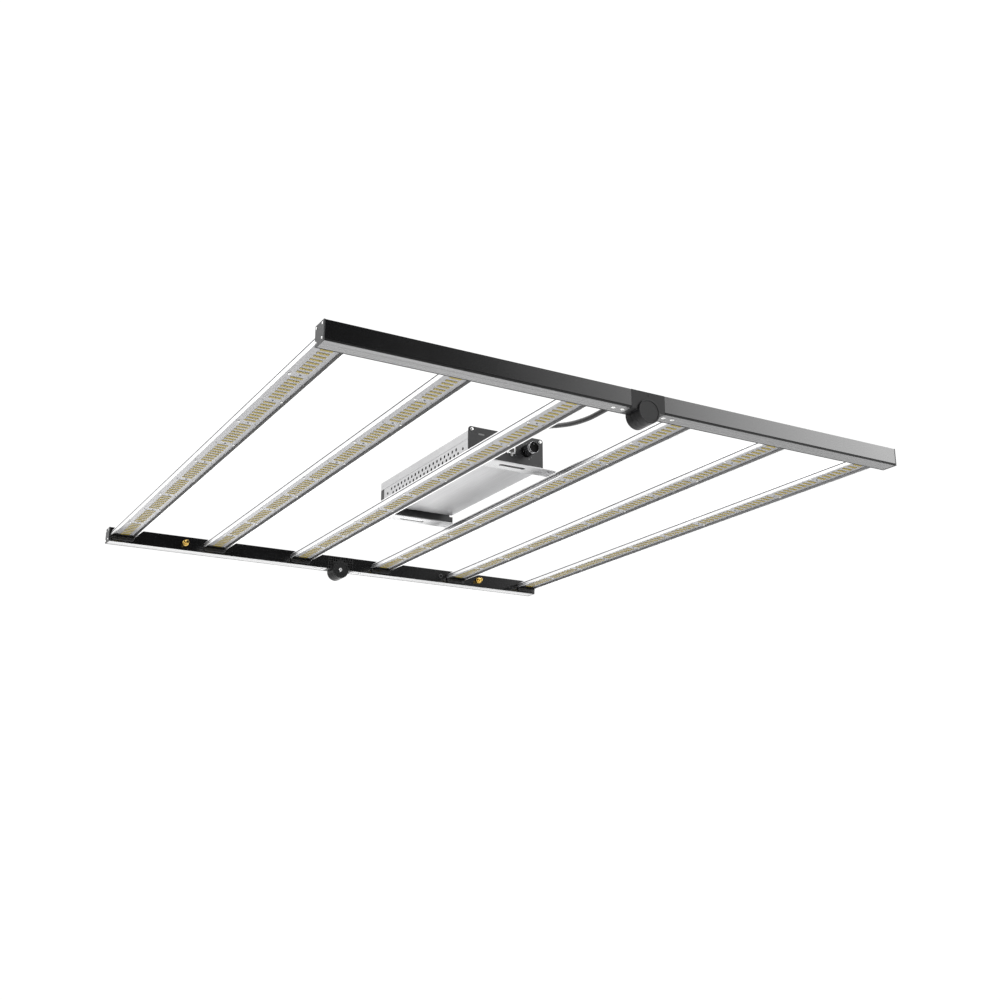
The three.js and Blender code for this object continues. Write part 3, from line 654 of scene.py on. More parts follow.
def make_rails():
    for side_y, end in ENDS:
        for side_x, side in SIDES:
            label = f"{end}_{side}"
            low, high = mm_box(f"{label}_rail")
            bm = bmesh.new()
            add_prism(bm, rail_outline(side_y, low, high), low.x, high.x, axis_frame("X"))
            mesh = to_mesh(bm, f"{label}_rail_profile", 25.0)
            add_piece(f"{label}_rail_profile", mesh, [RAIL_BLACK, RAIL_EDGE_SHADE], BODY_OF_SIDE[side_x],
                      [f"{label}_rail"])
            # Faces in the rail's lowest few millimetres take the dull black, a painted shade line along its
            # lower edge
            for face in mesh.polygons:
                face.material_index = int(face.center.z < (low.z + RAIL_EDGE_HEIGHT) * MM)
            dress(f"{label}_rail_cover", COVER_METAL, 0.35)
            dress(f"{label}_end_cap", CAP_PAINT, 0.45)
            make_rail_screws(side_x, side_y, label)


COVER_SCREW_X = (38.0, 54.5)
COVER_SCREW, CAP_SCREW = (3.1, 0.85), (1.9, 0.9)
CAP_SCREW_INSET = 4.6


def make_rail_screws(side_x, side_y, label):
    bm = bmesh.new()
    low, high = mm_box(f"{label}_rail_cover")
    middle = (low.y + high.y) / 2
    for x in COVER_SCREW_X:
        add_screw(bm, axis_frame("-Z", (side_x * x, middle + side_y * 1.5, low.z)), *COVER_SCREW)
    low, high = mm_box(f"{label}_end_cap")
    face = high.x if side_x > 0 else low.x
    for y in (low.y + CAP_SCREW_INSET, high.y - CAP_SCREW_INSET):
        for z in (low.z + CAP_SCREW_INSET, high.z - CAP_SCREW_INSET):
            add_screw(bm, axis_frame("X" if side_x > 0 else "-X", (face, y, z)), *CAP_SCREW)
    add_piece(f"{label}_rail_screws", bm, [STEEL], BODY_OF_SIDE[side_x])


make_rails()


# Hinges

AXIS_Z = -31.0
HINGE_RADIUS = 19.0
HINGE_RELIEF = 19.4
# Where each knuckle ends, as depths from the rail's outer face
KNUCKLES = (-2.5, 9.9, 20.1, 33.0)
PIN_RADIUS = 4.0
BLOCK_X, TONGUE_X = (0.15, 30.5), (29.5, 66.5)
POCKETS, POCKET_PITCH, POCKET_HALF = 5, 5.4, 1.9


def temporary(bm):
    """Object for a boolean, from a bmesh."""
    return new_object("tool", to_mesh(bm, "tool"))


def carve(target, tools, operation):
    """Applies a boolean with each tool in turn and removes the tools."""
    for tool in tools:
        modifier = target.modifiers.new("cut", "BOOLEAN")
        modifier.operation = operation
        modifier.solver = "EXACT"
        modifier.object = tool
    graph = bpy.context.evaluated_depsgraph_get()
    mesh = bpy.data.meshes.new_from_object(target.evaluated_get(graph))
    target.modifiers.clear()
    target.data = mesh
    for tool in tools:
        bpy.data.objects.remove(tool)


def knuckle(side_y, start, end, radius):
    """Length of barrel; start and end are depths from the rail's outer face."""
    outer = side_y * RAIL_OUTER_Y
    a, b = sorted((outer - side_y * start, outer - side_y * end))
    bm = bmesh.new()
    add_prism(bm, circle(0, AXIS_Z, radius, 96), a, b, axis_frame("Y"))
    return temporary(bm)


def hinge_block(side_x, side_y):
    """Square block and the tongue that goes into the rail, as one closed shape."""
    y0, y1 = sorted((side_y * RAIL_OUTER_Y, side_y * RAIL_INNER_Y))
    block_x, tongue_x = (sorted(side_x * x for x in span) for span in (BLOCK_X, TONGUE_X))
    bm = bmesh.new()
    add_block(bm, y0, y1, -30.0, 0.0, *block_x, axis_frame("X"), 0.0)
    block = temporary(bm)
    bm = bmesh.new()
    add_block(bm, y0 + 1.9, y1 - 1.9, -25.7, -1.9, *tongue_x, axis_frame("X"), 0.6)
    carve(block, [temporary(bm)], "UNION")
    return block


def hinge_pockets(side_x, side_y):
    """Square pockets in the inner face, clear of the barrel."""
    inner, half = side_y * RAIL_INNER_Y, POCKET_HALF
    y = sorted((inner - side_y, inner + side_y * 3))
    bm = bmesh.new()
    for column in range(POCKETS):
        for row in range(POCKETS):
            x, z = 4.6 + column * POCKET_PITCH, -4.4 - row * POCKET_PITCH
            if math.hypot(x - half, z - half - AXIS_Z) < HINGE_RELIEF + 1:
                continue
            u = sorted((side_x * (x - half), side_x * (x + half)))
            add_prism(bm, rectangle(*u, z - half, z + half, 0.5, 3), *y, axis_frame("Y"))
    return temporary(bm)


def settle_mesh(obj, name):
    """Merges coplanar faces left by the booleans and marks the sharp edges."""
    bm = bmesh.new()
    bm.from_mesh(obj.data)
    bmesh.ops.remove_doubles(bm, verts=bm.verts, dist=1e-6)
    bmesh.ops.dissolve_limit(bm, angle_limit=math.radians(0.5), verts=bm.verts, edges=bm.edges)
    bmesh.ops.recalc_face_normals(bm, faces=bm.faces)
    mark_edges(bm, 32.0)
    for face in bm.faces:
        face.material_index = 0
    bpy.data.objects.remove(obj)
    return new_mesh(bm, name)


def make_hinges():
    first, second, third, last = KNUCKLES
    for side_y, end in ENDS:
        for side_x, side in SIDES:
            node = f"{end}_{side}_hinge_leaf"
            block = hinge_block(side_x, side_y)
            if side_x < 0:
                reliefs = [knuckle(side_y, second, third, HINGE_RELIEF)]
                barrels = [knuckle(side_y, first, second, HINGE_RADIUS),
                           knuckle(side_y, third, last, HINGE_RADIUS)]
            else:
                reliefs = [knuckle(side_y, first - 5, second + GAP, HINGE_RELIEF),
                           knuckle(side_y, third - GAP, last + 5, HINGE_RELIEF)]
                barrels = [knuckle(side_y, second + GAP, third - GAP, HINGE_RADIUS)]
            carve(block, reliefs, "DIFFERENCE")
            carve(block, [hinge_pockets(side_x, side_y)], "DIFFERENCE")
            carve(block, barrels, "UNION")
            if side_x < 0:
                dishes = [knuckle(side_y, first - 1, first + 0.6, HINGE_RADIUS - 2.4),
                          knuckle(side_y, last - 0.6, last + 1, HINGE_RADIUS - 2.4),
                          knuckle(side_y, last - 3, last + 1, PIN_RADIUS + GAP)]
                for tool in dishes:
                    carve(block, [tool], "DIFFERENCE")
            mesh = settle_mesh(block, f"{node}_moulding")
            leaf = add_piece(f"{node}_moulding", mesh, [HINGE_PLASTIC], BODY_OF_SIDE[side_x],
                             [node])
            bevel(leaf, 0.35, 32.0)
        make_hinge_pin(side_y, end)


def make_hinge_pin(side_y, end):
    low, high = mm_box(f"{end}_hinge_pin")
    tip = high.y if side_y < 0 else low.y
    bm = bmesh.new()
    place = axis_frame("Y" if side_y < 0 else "-Y", (0, tip, AXIS_Z))
    length = high.y - low.y
    add_turned(bm, [(0, -length), (PIN_RADIUS - 0.4, -length), (PIN_RADIUS, 0.4 - length), (PIN_RADIUS, -0.7),
                    (PIN_RADIUS - 0.7, 0.0), (1.9, 0.0), (1.7, -1.6), (0, -1.9)], place, 48)
    add_piece(f"{end}_hinge_pin_turned", bm, [PIN_STEEL], LEFT, [f"{end}_hinge_pin"])


make_hinges()


# Light bars

# Heights of the bar's section above the plane of the lamps, and its fins as (distance from the middle, top)
LIP, SHOULDER, BASE_LOW, BASE_TOP = -4.0, 5.4, 1.9, 4.9
FINS = ((17.5, 7.2), (10.5, 9.2), (3.5, 12.5))
GROUP_PITCH, GROUPS, ROWS, COLUMNS = 112.3, 10, 8, 4
ROW_PITCH, COLUMN_PITCH = 12.6, 4.67
LAMP_SHIFT_X, LAMP_SHIFT_Y = 2.0, 11.0


def bar_outline():
    """Half section of the heat sink, from its middle out to the side and back on top, and its mirror."""
    half = [
        (20.3, BASE_LOW, 0.2), (20.3, -0.5, 0.3), (22.3, LIP, 0.3), (25.4, LIP, 0.4), (25.0, 0.4, 0.2),
        (23.4, 0.7, 0.2), (23.4, 2.7, 0.2), (24.5, 3.0, 0.2), (24.2, SHOULDER, 0.4), (21.5, SHOULDER, 0.3),
        (21.5, BASE_TOP, 0.2),
    ]
    for fin, top in FINS:
        half += [(fin + 0.95, BASE_TOP, 0.4), (fin + 0.7, top, 0.4), (fin - 0.7, top, 0.4),
                 (fin - 0.95, BASE_TOP, 0.4)]
    return soften(half + [(-u, v, r) for u, v, r in reversed(half)], 2)


def shade_bar(mesh, centre, face):
    """Painted shade and painted dark reflection: a darker satin on the lips' inner slopes and in the side
    grooves.
    """
    for polygon in mesh.polygons:
        middle = polygon.center / MM
        out, up = abs(middle.x - centre), middle.z - face
        if 20.2 < out < 22.4 and up < -0.3:
            polygon.material_index = 1
        elif 23.2 < out < 24.95 and 0.42 < up < 3.0:
            polygon.material_index = 2


LAMP_SIZE, LAMP_HEIGHT = (4.3, 5.0), 0.7
PAD_HEIGHT = 0.18


def add_lamp(bm, x, y, z):
    """Lamp package facing down: a frame round a sunk yellow window, and a solder pad at each end."""
    half_w, half_l = (size / 2 for size in LAMP_SIZE)
    levels = [(0.0, 0.0), (0.06, LAMP_HEIGHT * 0.88), (0.12, LAMP_HEIGHT), (0.26, LAMP_HEIGHT),
              (0.32, LAMP_HEIGHT - 0.05)]
    rings = []
    for inset, depth in levels:
        u, v = half_w - inset, half_l - inset
        corners = ((x - u, y - v), (x + u, y - v), (x + u, y + v), (x - u, y + v))
        rings.append([bm.verts.new((*corner, z - depth)) for corner in corners])
    for a, b in zip(rings, rings[1:]):
        join_rings(bm, a, b, 1)
    bm.faces.new(rings[-1]).material_index = 0
    v0, v1 = y - half_l + 0.3, y + half_l - 0.3
    for side in (-1, 1):
        u0, u1 = sorted((x + side * (half_w - 0.1), x + side * (half_w + 0.12)))
        corners = ((u0, v0), (u1, v0), (u1, v1), (u0, v1))
        base, top = ([bm.verts.new((*c, z - depth)) for c in corners] for depth in (0.0, PAD_HEIGHT))
        join_rings(bm, base, top, 2)
        bm.faces.new(top).material_index = 2


def make_lamps(number, centre, face):
    bm = bmesh.new()
    for group in range(GROUPS):
        middle = LAMP_SHIFT_Y + (group - (GROUPS - 1) / 2) * GROUP_PITCH
        for row in range(ROWS):
            y = middle + (row - (ROWS - 1) / 2) * ROW_PITCH
            for column in range(COLUMNS):
                x = centre + LAMP_SHIFT_X + (column - (COLUMNS - 1) / 2) * COLUMN_PITCH
                add_lamp(bm, x, y, face)
    bmesh.ops.recalc_face_normals(bm, faces=bm.faces)
    return new_mesh(bm, f"lamp_packages_{number}", MM)


def add_chip(bm, x, y, z, width, length, height):
    """Small component: dark body with a bright end on each side."""
    place = axis_frame("-Z", (0, 0, z))
    half_w, half_l = width / 2, length / 2
    add_block(bm, x - half_w, x + half_w, y - half_l, y + half_l, 0.0, height, place, 0.1, index=1)
    for side in (-1, 1):
        u = sorted((x + side * (half_w - 0.15), x + side * (half_w + 0.35)))
        add_block(bm, *u, y - half_l + 0.1, y + half_l - 0.1, 0.0, height * 0.9, place, 0.08, index=2)


def make_board_fittings(number, centre, face):
    """Screws and small components at the joins between the lamp groups."""
    bm = bmesh.new()
    for join in range(1, GROUPS):
        y = LAMP_SHIFT_Y + (join - GROUPS / 2) * GROUP_PITCH
        side = -1 if join % 2 else 1
        x = centre + LAMP_SHIFT_X + side * 15.0
        add_screw(bm, axis_frame("-Z", (x, y, face)), 2.4, 1.5, 20)
        add_chip(bm, centre + LAMP_SHIFT_X + 0.9, y, face, 2.4, 1.5, 0.8)
        add_chip(bm, centre + LAMP_SHIFT_X - side * 14.0, y + 3.0, face, 1.6, 0.8, 0.5)
    low, high = mm_box(f"led_board_{number}")
    for end in (-1, 1):
        y = (high.y if end > 0 else low.y) - end * 14.0
        for x in (centre - 15.0, centre - 9.0):
            add_block(bm, x - 1.6, x + 1.6, y - 2, y + 2, 0.0, 0.9, axis_frame("-Z", (0, 0, face)),
                      0.25, 0.5, index=2)
    return bm


def make_saddles(centre, low, high):
    """Moulded black shoe under each bar end, standing on the rail's inner face."""
    top, bottom = low.z - 0.2, low.z - 8.2
    shoe = soften([(centre - 24.0, top, 0.6), (centre + 24.0, top, 0.6), (centre + 22.5, bottom, 7.0),
                   (centre - 22.5, bottom, 7.0)], 8)
    bm = bmesh.new()
    for wall, end in ((low.y, -1), (high.y, 1)):
        add_prism(bm, shoe, *sorted((wall, wall - end * 4.2)), axis_frame("Y"), 0.6)
        y = sorted((wall - end * 0.2, wall - end * 9.0))
        add_block(bm, centre - 19.0, centre + 19.0, *y, 0.0, 1.3, axis_frame("-Z", (0, 0, low.z + 4.0)),
                  0.3, 1.0)
    return bm


def make_bars():
    section = bar_outline()
    for number in range(1, 7):
        body = LEFT if number <= 3 else RIGHT
        low, high = mm_box(f"heat_sink_bar_{number}")
        centre = (low.x + high.x) / 2
        face = low.z - LIP
        bm = bmesh.new()
        outline = [(centre + u, face + v) for u, v in section]
        add_prism(bm, outline, low.y, high.y, axis_frame("Y"))
        mesh = to_mesh(bm, f"finned_bar_{number}", 25.0)
        shade_bar(mesh, centre, face)
        add_piece(f"finned_bar_{number}", mesh, [BAR_METAL, LIP_PAINTED_SHADE, GROOVE_PAINTED_SHADE], body,
                  [f"heat_sink_bar_{number}"])
        dress(f"led_board_{number}", BOARD_MASK, 0.15)
        add_piece(f"lamp_packages_{number}", make_lamps(number, centre, face),
                  [PHOSPHOR, PACKAGE, SOLDER], body)
        add_piece(f"board_fittings_{number}", make_board_fittings(number, centre, face),
                  [STEEL, CHIP, SOLDER], body)
        add_piece(f"bar_saddles_{number}", make_saddles(centre, low, high), [SADDLE_PLASTIC], body)


make_bars()


# Rail fittings

def make_studs():
    for side_y, end in ENDS:
        for side_x, side in SIDES:
            node = f"{end}_{side}_hanging_stud"
            middle = box_middle(node, side_y * RAIL_INNER_Y)
            bm = bmesh.new()
            add_turned(bm, [
                (0, -2.5), (3.9, -2.5), (3.9, 0.3), (6.4, 0.3), (6.7, 0.6), (6.7, 4.7), (6.4, 5.2),
                (5.6, 5.9), (3.4, 6.1), (2.8, 6.6), (2.6, 7.4), (2.6, 11.6), (2.8, 12.4), (3.6, 13.2),
                (4.05, 13.8), (4.2, 14.5), (4.2, 16.6), (4.0, 17.3), (3.4, 17.9), (0, 18.0),
            ], axis_frame("Y" if side_y < 0 else "-Y", middle))
            add_piece(f"{node}_turned", bm, [BRASS], BODY_OF_SIDE[side_x], [node], 40.0)


def make_grommet():
    middle = box_middle("far_right_grommet", RAIL_INNER_Y)
    bm = bmesh.new()
    add_turned(bm, [
        (2.8, -3.2), (5.4, -3.2), (5.6, -3.0), (5.6, -1.9), (4.3, -1.9), (4.3, 0.3), (5.6, 0.3), (5.8, 0.6),
        (5.7, 1.1), (5.2, 1.5), (4.4, 1.7), (3.3, 1.6), (2.9, 1.2),
    ], axis_frame("-Y", middle), closed=True)
    add_piece("far_right_grommet_ring", bm, [GROMMET_RUBBER], RIGHT, ["far_right_grommet"], 45.0)


def make_gland(node, wall_point, axis, body_radius, length):
    """Hexagon nut on the wall, ribbed body and domed cap round the lead."""
    place = axis_frame(axis, wall_point)
    hole = CABLE_DIAMETER / 2 + 0.15
    bm = bmesh.new()
    add_prism(bm, circle(0, 0, body_radius, 6), 0.3, 4.5, place, 0.5, [circle(0, 0, hole)])
    add_turned(bm, [
        (hole, 4.5), (body_radius - 1.4, 4.5), (body_radius - 1.2, 4.8), (body_radius - 1.2, length * 0.66),
        (body_radius - 1.5, length * 0.76), (body_radius - 2.2, length * 0.86), (hole + 1.0, length * 0.97),
        (hole + 0.5, length), (hole, length),
    ], place, closed=True, ridges=(4.7, length * 0.7, 0.35))
    add_piece(f"{node}_body", bm, [GLAND_PLASTIC], LEFT, [node], 40.0)


make_studs()
make_grommet()
make_gland("rail_cable_gland", (-37, -RAIL_INNER_Y, -15.0), "Y", 7.0, 20.0)
make_gland("driver_output_gland", (-37, -179.0, 30.0), "-Y", 9.0, 22.0)


# Driver. Its own frame: x from the middle of the end plates, z from the brackets' underside.

DRIVER_X, DRIVER_Y, DRIVER_Z = 1.0, 5.0, -1.7
SHEET = 1.4
# Air holes along each side, the heights of their rows, and the side screws as (y, z)
VENT_COUNT, VENT_PITCH, VENT_SHIFT, VENT_RADIUS = 19, 15.1, -1.8, 3.0
VENT_ROWS = (37.5, 27.9)
SIDE_SCREWS = ((157.0, 32.3), (-158.3, 32.3))
BEND = 2.5


def driver_frame(axis, x=0.0, y=0.0, z=0.0):
    return axis_frame(axis, (DRIVER_X + x, y, DRIVER_Z + z))


def skin_normals_down(bm):
    """True if the lowest face of an open skin faces down."""
    lowest = min(bm.faces, key=lambda face: face.calc_center_median().z)
    return lowest.normal.z < 0


def fold_sheet(bm, points, y0, y1):
    """Strips of sheet between the points of a section, from y0 to y1."""
    place = driver_frame("Z")
    edges = [[bm.verts.new(place @ Vector((x, y, z))) for y in (y0, y1)] for x, z in points]
    for a, b in zip(edges, edges[1:]):
        bm.faces.new((*a, *b[::-1]))


def make_tray():
    """Open skin with rows of air holes, thickened inwards into a sheet; its inner side and hole walls get a
    near-black painted shade so the holes look dark.
    """
    low, high = mm_box("driver_tray")
    half = (high.x - low.x) / 2
    bottom, top = low.z - DRIVER_Z, high.z - DRIVER_Z
    edge, bend_z, steps = half - BEND, bottom + BEND, 6
    bm = bmesh.new()
    for side in (-1, 1):
        holes = []
        for index in range(VENT_COUNT):
            for row, z in enumerate(VENT_ROWS):
                along = (index - (VENT_COUNT - 1) / 2 - row / 2) * VENT_PITCH
                holes.append(circle(DRIVER_Y + VENT_SHIFT + along, z, VENT_RADIUS))
        outline = [(low.y, bend_z), (high.y, bend_z), (high.y, top), (low.y, top)]
        place = driver_frame("X", side * half)
        cap(bm, [ring_of(bm, loop, 0.0, place) for loop in [outline, *holes]])
        angles = [step / steps * math.pi / 2 for step in range(steps + 1)]
        fold_sheet(bm, [(side * (edge + BEND * math.cos(a)), bend_z - BEND * math.sin(a)) for a in angles],
                   low.y, high.y)
    fold_sheet(bm, [(-edge, bottom), (edge, bottom)], low.y, high.y)
    mesh = to_mesh(bm, "driver_tray_sheet", 30.0, skin_normals_down)
    tray = add_piece("driver_tray_sheet", mesh, [CASE_METAL, PAINTED_CASE_SHADE], LEFT,
                     ["driver_tray"])
    solid = tray.modifiers.new("sheet", "SOLIDIFY")
    solid.thickness = SHEET * MM
    solid.offset = -1.0
    solid.use_even_offset = True
    # The inner side and the hole walls take the near-black material: painted shade for the air holes
    solid.material_offset = solid.material_offset_rim = 1
    bevel(tray, 0.2, 50.0)
    bm = bmesh.new()
    for side in (-1, 1):
        for y, z in SIDE_SCREWS:
            add_screw(bm, driver_frame("X" if side > 0 else "-X", side * half, y, z), 2.7, 0.8)
    add_piece("tray_side_screws", bm, [BLACK_SCREW], LEFT)


def make_cover():
    low, high = mm_box("driver_cover")
    half = (high.x - low.x) / 2
    skirt, top = low.z - DRIVER_Z, high.z - DRIVER_Z
    inner, roof = half - SHEET, top - SHEET
    outline = soften([
        (half, skirt, 0.2), (half, top, 2.2), (-half, top, 2.2), (-half, skirt, 0.2), (-inner, skirt, 0.2),
        (-inner, roof, 0.9), (inner, roof, 0.9), (inner, skirt, 0.2),
    ], 6)
    bm = bmesh.new()
    add_prism(bm, outline, low.y, high.y, driver_frame("Y"))
    add_piece("driver_cover_sheet", bm, [CASE_METAL], LEFT, ["driver_cover"], 30.0)


# Middles of the parts on the end plates, as (x, z)
PORT = (9.9, 38.7)
INLET = (30.0, 34.0)
DIAL = (42.7, 41.6)
# Upper screw of each end plate: (x, z, radius, height)
PLATE_SCREWS = {-1: (71.0, 63.9, 3.1, 1.6), 1: (66.0, 54.0, 2.9, 1.5)}
TAB_BOTTOM, TRAY_TOP = 25.0, 45.4
PLATE, FOOT = 2.0, 2.2
# Length and width of the slot in a bracket's flange
SLOT = (52.0, 9.0)


def make_end_plates():
    for side_y, end in ENDS:
        node = f"driver_{end}_end_plate"
        low, high = mm_box(node)
        half = (high.x - low.x) / 2
        top = high.z - DRIVER_Z
        if side_y < 0:
            outline = soften([(-half, FOOT, 0.8), (half, FOOT, 0.8), (half, top, 6.5), (-half, top, 6.5)], 10)
            hole = rectangle(PORT[0] - 8.8, PORT[0] + 8.8, PORT[1] - 7.3, PORT[1] + 7.3, 0.6)
            tab_x, tab_depth = half - SHEET - GAP, 8.0
        else:
            shoulder = half - SHEET - GAP
            right = [(half, FOOT, 0.8), (half, TRAY_TOP, 0.8), (shoulder, TRAY_TOP, 0.4),
                     (shoulder, top, 1.2)]
            outline = soften(right + [(-u, v, r) for u, v, r in reversed(right)], 6)
            hole = rectangle(INLET[0] - 14.3, INLET[0] + 14.3, INLET[1] - 10.3, INLET[1] + 10.3, 0.6)
            tab_x, tab_depth = half, 13.0
        outer = low.y if side_y < 0 else high.y
        bm = bmesh.new()
        add_prism(bm, outline, *sorted((outer, outer - side_y * PLATE)), driver_frame("Y"), 0.35, [hole])
        v = sorted((outer - side_y * 1.6, outer - side_y * (PLATE + tab_depth)))
        for side in (-1, 1):
            u = sorted((side * (tab_x - SHEET), side * tab_x))
            add_block(bm, *u, *v, TAB_BOTTOM, TRAY_TOP, driver_frame("Z"), 0.3)
        add_piece(f"{node}_sheet", bm, [PLATE_PAINT_AND_SLOT_SHADE], LEFT, [node])
        make_plate_screws(side_y, end, outer)


def make_plate_screws(side_y, end, outer):
    axis = "-Y" if side_y < 0 else "Y"
    bm = bmesh.new()
    x, z, radius, height = PLATE_SCREWS[side_y]
    for side in (-1, 1):
        add_screw(bm, driver_frame(axis, side * x, outer, z), radius, height)
        add_screw(bm, driver_frame(axis, side * 52.0, outer + side_y * 2.3, 8.0), 2.6, 1.4)
    add_piece(f"driver_{end}_screws", bm, [STEEL], LEFT)


def make_brackets():
    """Slotted flange under each end plate and, on it, a low painted leg against the plate; the slot's walls
    get the dark paint as painted shade.
    """
    for side_y, end in ENDS:
        node = f"{end}_driver_bracket"
        low, high = mm_box(node)
        root, tip = (low.y, high.y) if side_y > 0 else (high.y, low.y)
        left, right = low.x - DRIVER_X, high.x - DRIVER_X
        back, front, middle = root - side_y * PLATE, root + side_y * PLATE, (root + tip + side_y * PLATE) / 2
        flange = soften([(left, back, 0.4), (right, back, 0.4), (right, tip, 3.0), (left, tip, 3.0)], 6)
        bm = bmesh.new()
        add_prism(bm, flange, 0.0, PLATE, driver_frame("Z"), 0.25, [slot_outline(1.2, middle, *SLOT)])
        add_block(bm, left, right, *sorted((root, front)), PLATE, high.z - DRIVER_Z, driver_frame("Z"),
                  0.3, index=1)
        mesh = to_mesh(bm, f"{node}_sheet", 30.0)
        # The slot's walls take the dark plate paint: painted shade, so the slot looks dark
        for face in mesh.polygons:
            x, y = face.center.x / MM, face.center.y / MM - middle
            if abs(face.normal.z) < 0.9 and abs(y) < SLOT[1] / 2 + 0.1 and abs(x) < 30.0:
                face.material_index = 1
        add_piece(f"{node}_sheet", mesh, [BRACKET_METAL, PLATE_PAINT_AND_SLOT_SHADE], LEFT, [node])
        bm = bmesh.new()
        for x in (left + 7.5, right - 7.5):
            add_screw(bm, driver_frame("Z", x, (root + tip) / 2 + side_y * 2, PLATE), 3.6, 2.2)
        add_piece(f"{node}_screws", bm, [STEEL], LEFT)


def make_knob():
    """Black skirt, bright fluted grip, black sunk face and a raised pointer."""
    place = driver_frame("-Y", DIAL[0], mm_box("dimmer_knob")[1].y, DIAL[1])
    bm = bmesh.new()
    add_turned(bm, [(5.0, 0.0), (10.6, 0.0), (11.0, 0.4), (11.0, 2.6), (10.6, 3.1), (9.6, 3.4), (5.0, 3.4)],
               place, 96, closed=True, index=1)
    add_turned(bm, [
        (5.0, 3.4), (9.4, 3.5), (10.0, 5.0), (10.2, 6.0), (10.2, 19.0), (10.0, 20.0), (9.5, 20.6),
        (9.5, 21.4), (10.2, 22.0), (10.3, 25.2), (9.9, 25.8),
    ], place, 96, ridges=(5.5, 19.5, 0.6))
    add_turned(bm, [(9.9, 25.8), (9.4, 26.0), (9.1, 25.6), (9.0, 25.0), (8.4, 24.7), (0, 24.6)],
               place, 96, index=1)
    add_turned(bm, [(5.0, 0.0), (5.0, 2.0), (3.3, 2.0), (3.3, 18.0), (0, 18.0)], place, 96)
    add_block(bm, -0.5, 0.5, 5.0, 7.6, 24.5, 24.8, place, 0.1, index=2)
    add_piece("dimmer_knob_turned", bm, [CHROME, KNOB_FACE, PRINT], KNOB, ["dimmer_knob"], 28.0)


def make_plate_marks():
    """Printed dial scale, plain label patch and the lens of the status light."""
    outer = mm_box("driver_near_end_plate")[0].y
    place = driver_frame("-Y", DIAL[0], outer, DIAL[1])
    bm = bmesh.new()
    rim, thick = 13.6, 0.12
    for k in range(11):
        a = math.radians(-135 + 27 * k)
        across = Vector((math.cos(a), -math.sin(a))) * 0.28
        out = Vector((math.sin(a), math.cos(a)))
        start, stop = out * rim, out * (rim + (2.4 if k % 5 == 0 else 1.4))
        corners = (start - across, start + across, stop + across, stop - across)
        add_prism(bm, [tuple(corner) for corner in corners], 0.0, thick, place)
    add_prism(bm, circle(4.9, -14.3, 1.1, 20), 0.0, thick, place)
    add_prism(bm, rectangle(-57.5, -45.5, 55.4, 58.4, 0.6), 0.0, 0.15, driver_frame("-Y", 0.0, outer), 0.04)
    add_piece("plate_marks", bm, [PRINT], LEFT)
    bm = bmesh.new()
    add_turned(bm, [(0, -0.2), (2.3, -0.2), (2.3, 0.5), (2.1, 0.8), (1.8, 0.9), (1.7, 1.5), (1.3, 2.1),
                    (0.7, 2.45), (0, 2.6)], axis_frame("-Y", box_middle("status_lens", outer)), 40)
    add_piece("status_light", bm, [LENS], LEFT, ["status_lens"], 40.0)


def make_socket_details():
    """Contacts inside the dimming socket."""
    place = driver_frame("Z", 0.0, mm_box("dimming_port")[0].y, PORT[1] + 3.1)
    bm = bmesh.new()
    for k in range(6):
        x = PORT[0] - 3.2 + k * 1.28
        add_block(bm, x - 0.3, x + 0.3, 1.5, 12.5, 0.0, 0.6, place, 0.1)
    add_piece("port_contacts", bm, [PORT_PINS], LEFT)


make_tray()
make_cover()
make_end_plates()
make_brackets()
make_knob()
make_plate_marks()
make_socket_details()
dress("dimming_port", PORT_SHELL, 0.3)
dress("mains_inlet", INLET_PLASTIC, 0.35)
dress("driver_circuit_board", CIRCUIT, 0.15)
dress("main_transformer", TAPE, 0.8)
dress("filter_choke", FERRITE)
dress("bulk_capacitor_1", SLEEVE)
dress("bulk_capacitor_2", SLEEVE)
dress("transistor_heat_spreader", DARK_STEEL, 0.3)
dress("dimmer_potentiometer", PIN_STEEL)


# Room

def make_floor():
    bm = bmesh.new()
    add_prism(bm, circle(0, 0, 3200.0, 128), -1920.0, -1900.0, axis_frame("Z"))
    floor = new_object("floor", to_mesh(bm, "floor"))
    tree = Tree("floor_white", (0.86, 0.86, 0.86), 0.7)
    tree.paint(tree.color(tree.noise(0.8, 2.0), *shades(WHITE, 0.85, 0.87)))
    floor.data.materials.append(tree.material)


# Room brightness round the horizon, from the left (0) through the front (0.25), right (0.5) and back (0.75)
ROUND_STOPS = [
    (0.0, 1.2), (0.042, 1.1), (0.111, 0.5), (0.18, 0.05), (0.278, 0.02), (0.316, 0.03), (0.333, 0.22),
    (0.345, 0.85), (0.353, 1.4), (0.369, 3.3), (0.386, 5.3), (0.417, 5.4), (0.47, 3.0), (0.5, 1.8),
    (0.556, 1.1), (0.75, 1.15), (0.95, 1.15),
]
# Brightness under the horizon against depth: 0 is straight down, 0.5 level
BELOW_STOPS = [(0.0, 0.75), (0.28, 0.8), (0.35, 1.15), (0.37, 1.6), (0.385, 3.0), (0.40, 3.7), (0.5, 4.0)]
# and its share round the horizon: full at the back right only
BELOW_SHARE_STOPS = [
    (0.0, 0.1), (0.3, 0.15), (0.45, 0.4), (0.6, 0.48), (0.65, 0.62), (0.69, 0.95), (0.73, 1.0), (0.79, 0.12),
    (1.0, 0.08),
]
# A ramp's colours stay under 1, so the brightness is divided by this and multiplied again
WORLD_SCALE = 6.0


def grey_ramp(tree, value, stops, scale=1.0):
    return add_ramp(tree, value, [(place, (level / scale,) * 3) for place, level in stops])


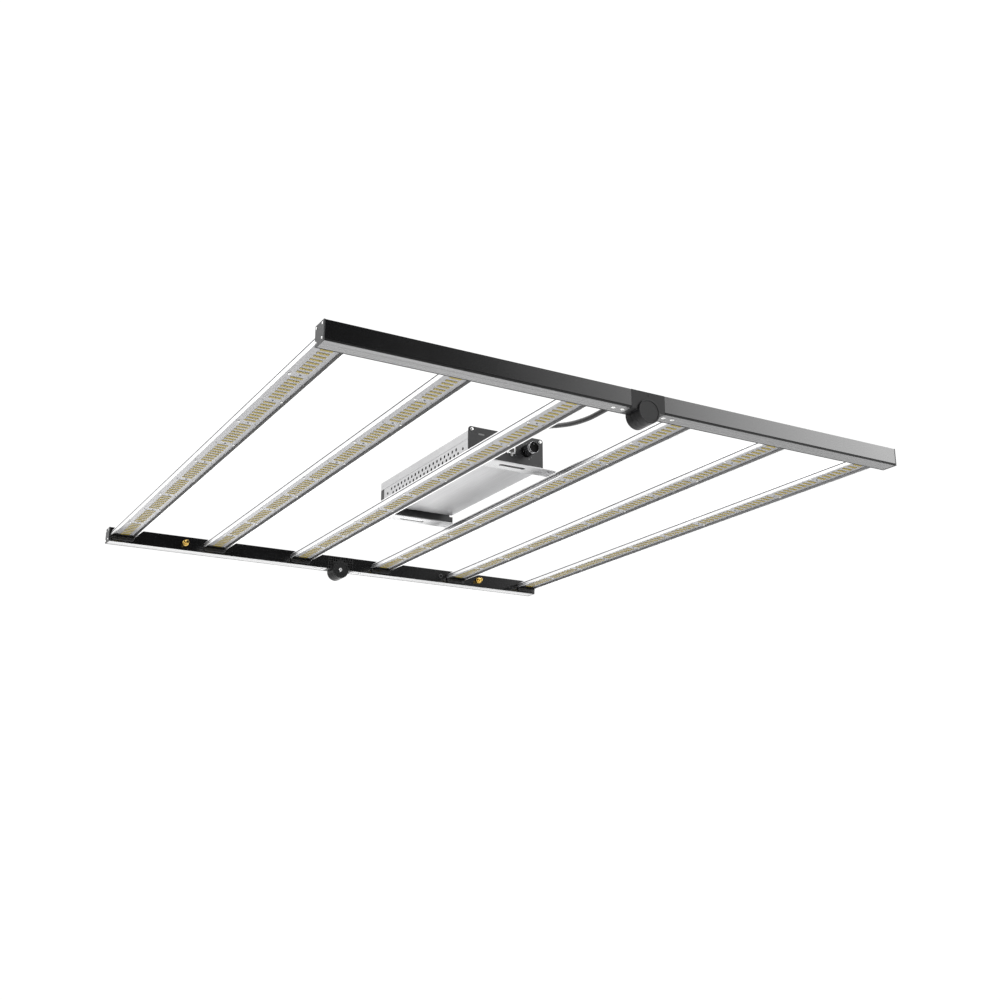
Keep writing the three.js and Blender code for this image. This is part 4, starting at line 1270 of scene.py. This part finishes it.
def make_world():
    """White room: dark in front, brightest at the front right, pale all round below."""
    world = bpy.data.worlds.new("room")
    world.use_nodes = True
    scene.world = world
    tree = world.node_tree
    shown = tree.nodes["Background"]
    shown.inputs["Color"].default_value = (*WHITE, 1.0)
    shown.inputs["Strength"].default_value = 1.05
    direction = add_node(tree, "ShaderNodeTexCoord", {}).outputs["Generated"]
    turn = add_node(tree, "ShaderNodeTexGradient", {"Vector": direction},
                    gradient_type="RADIAL").outputs["Fac"]
    height = add_node(tree, "ShaderNodeSeparateXYZ", {"Vector": direction}).outputs["Z"]
    depth = add_node(tree, "ShaderNodeMapRange", {"Value": height, "From Min": -1.0}).outputs["Result"]
    ground = add_mix(tree, "MULTIPLY", 1.0, grey_ramp(tree, depth, BELOW_STOPS, WORLD_SCALE),
                     grey_ramp(tree, turn, BELOW_SHARE_STOPS))
    blend = add_node(tree, "ShaderNodeMapRange", {"Value": height, "From Min": -0.12, "From Max": 0.08},
                     interpolation_type="SMOOTHSTEP").outputs["Result"]
    around = grey_ramp(tree, turn, ROUND_STOPS, WORLD_SCALE)
    lighting = add_node(tree, "ShaderNodeBackground", {"Strength": WORLD_SCALE,
                        "Color": add_mix(tree, "MIX", blend, ground, around)})
    seen = add_node(tree, "ShaderNodeLightPath", {}).outputs["Is Camera Ray"]
    choose = add_node(tree, "ShaderNodeMixShader", {"Fac": seen})
    tree.links.new(lighting.outputs["Background"], choose.inputs[1])
    tree.links.new(shown.outputs["Background"], choose.inputs[2])
    tree.links.new(choose.outputs["Shader"], tree.nodes["World Output"].inputs["Surface"])


def make_light(name, place, target, size, power):
    data = bpy.data.lights.new(name, "AREA")
    data.shape = "RECTANGLE"
    data.size, data.size_y = size
    data.energy = power
    light = new_object(name, data)
    light.location = place
    light.rotation_mode = "QUATERNION"
    light.rotation_quaternion = (Vector(target) - Vector(place)).to_track_quat("-Z", "Y")
    light.visible_camera = False


make_floor()
make_world()
make_light("top_softbox", (0.5, 1.5, 3.2), (0.0, 0.6, 0.0), (4.0, 4.0), 90.0)
make_light("left_softbox", (-3.0, 0.8, 2.0), (0.0, 0.0, 0.0), (2.5, 2.0), 60.0)
scene.view_settings.view_transform = "Standard"
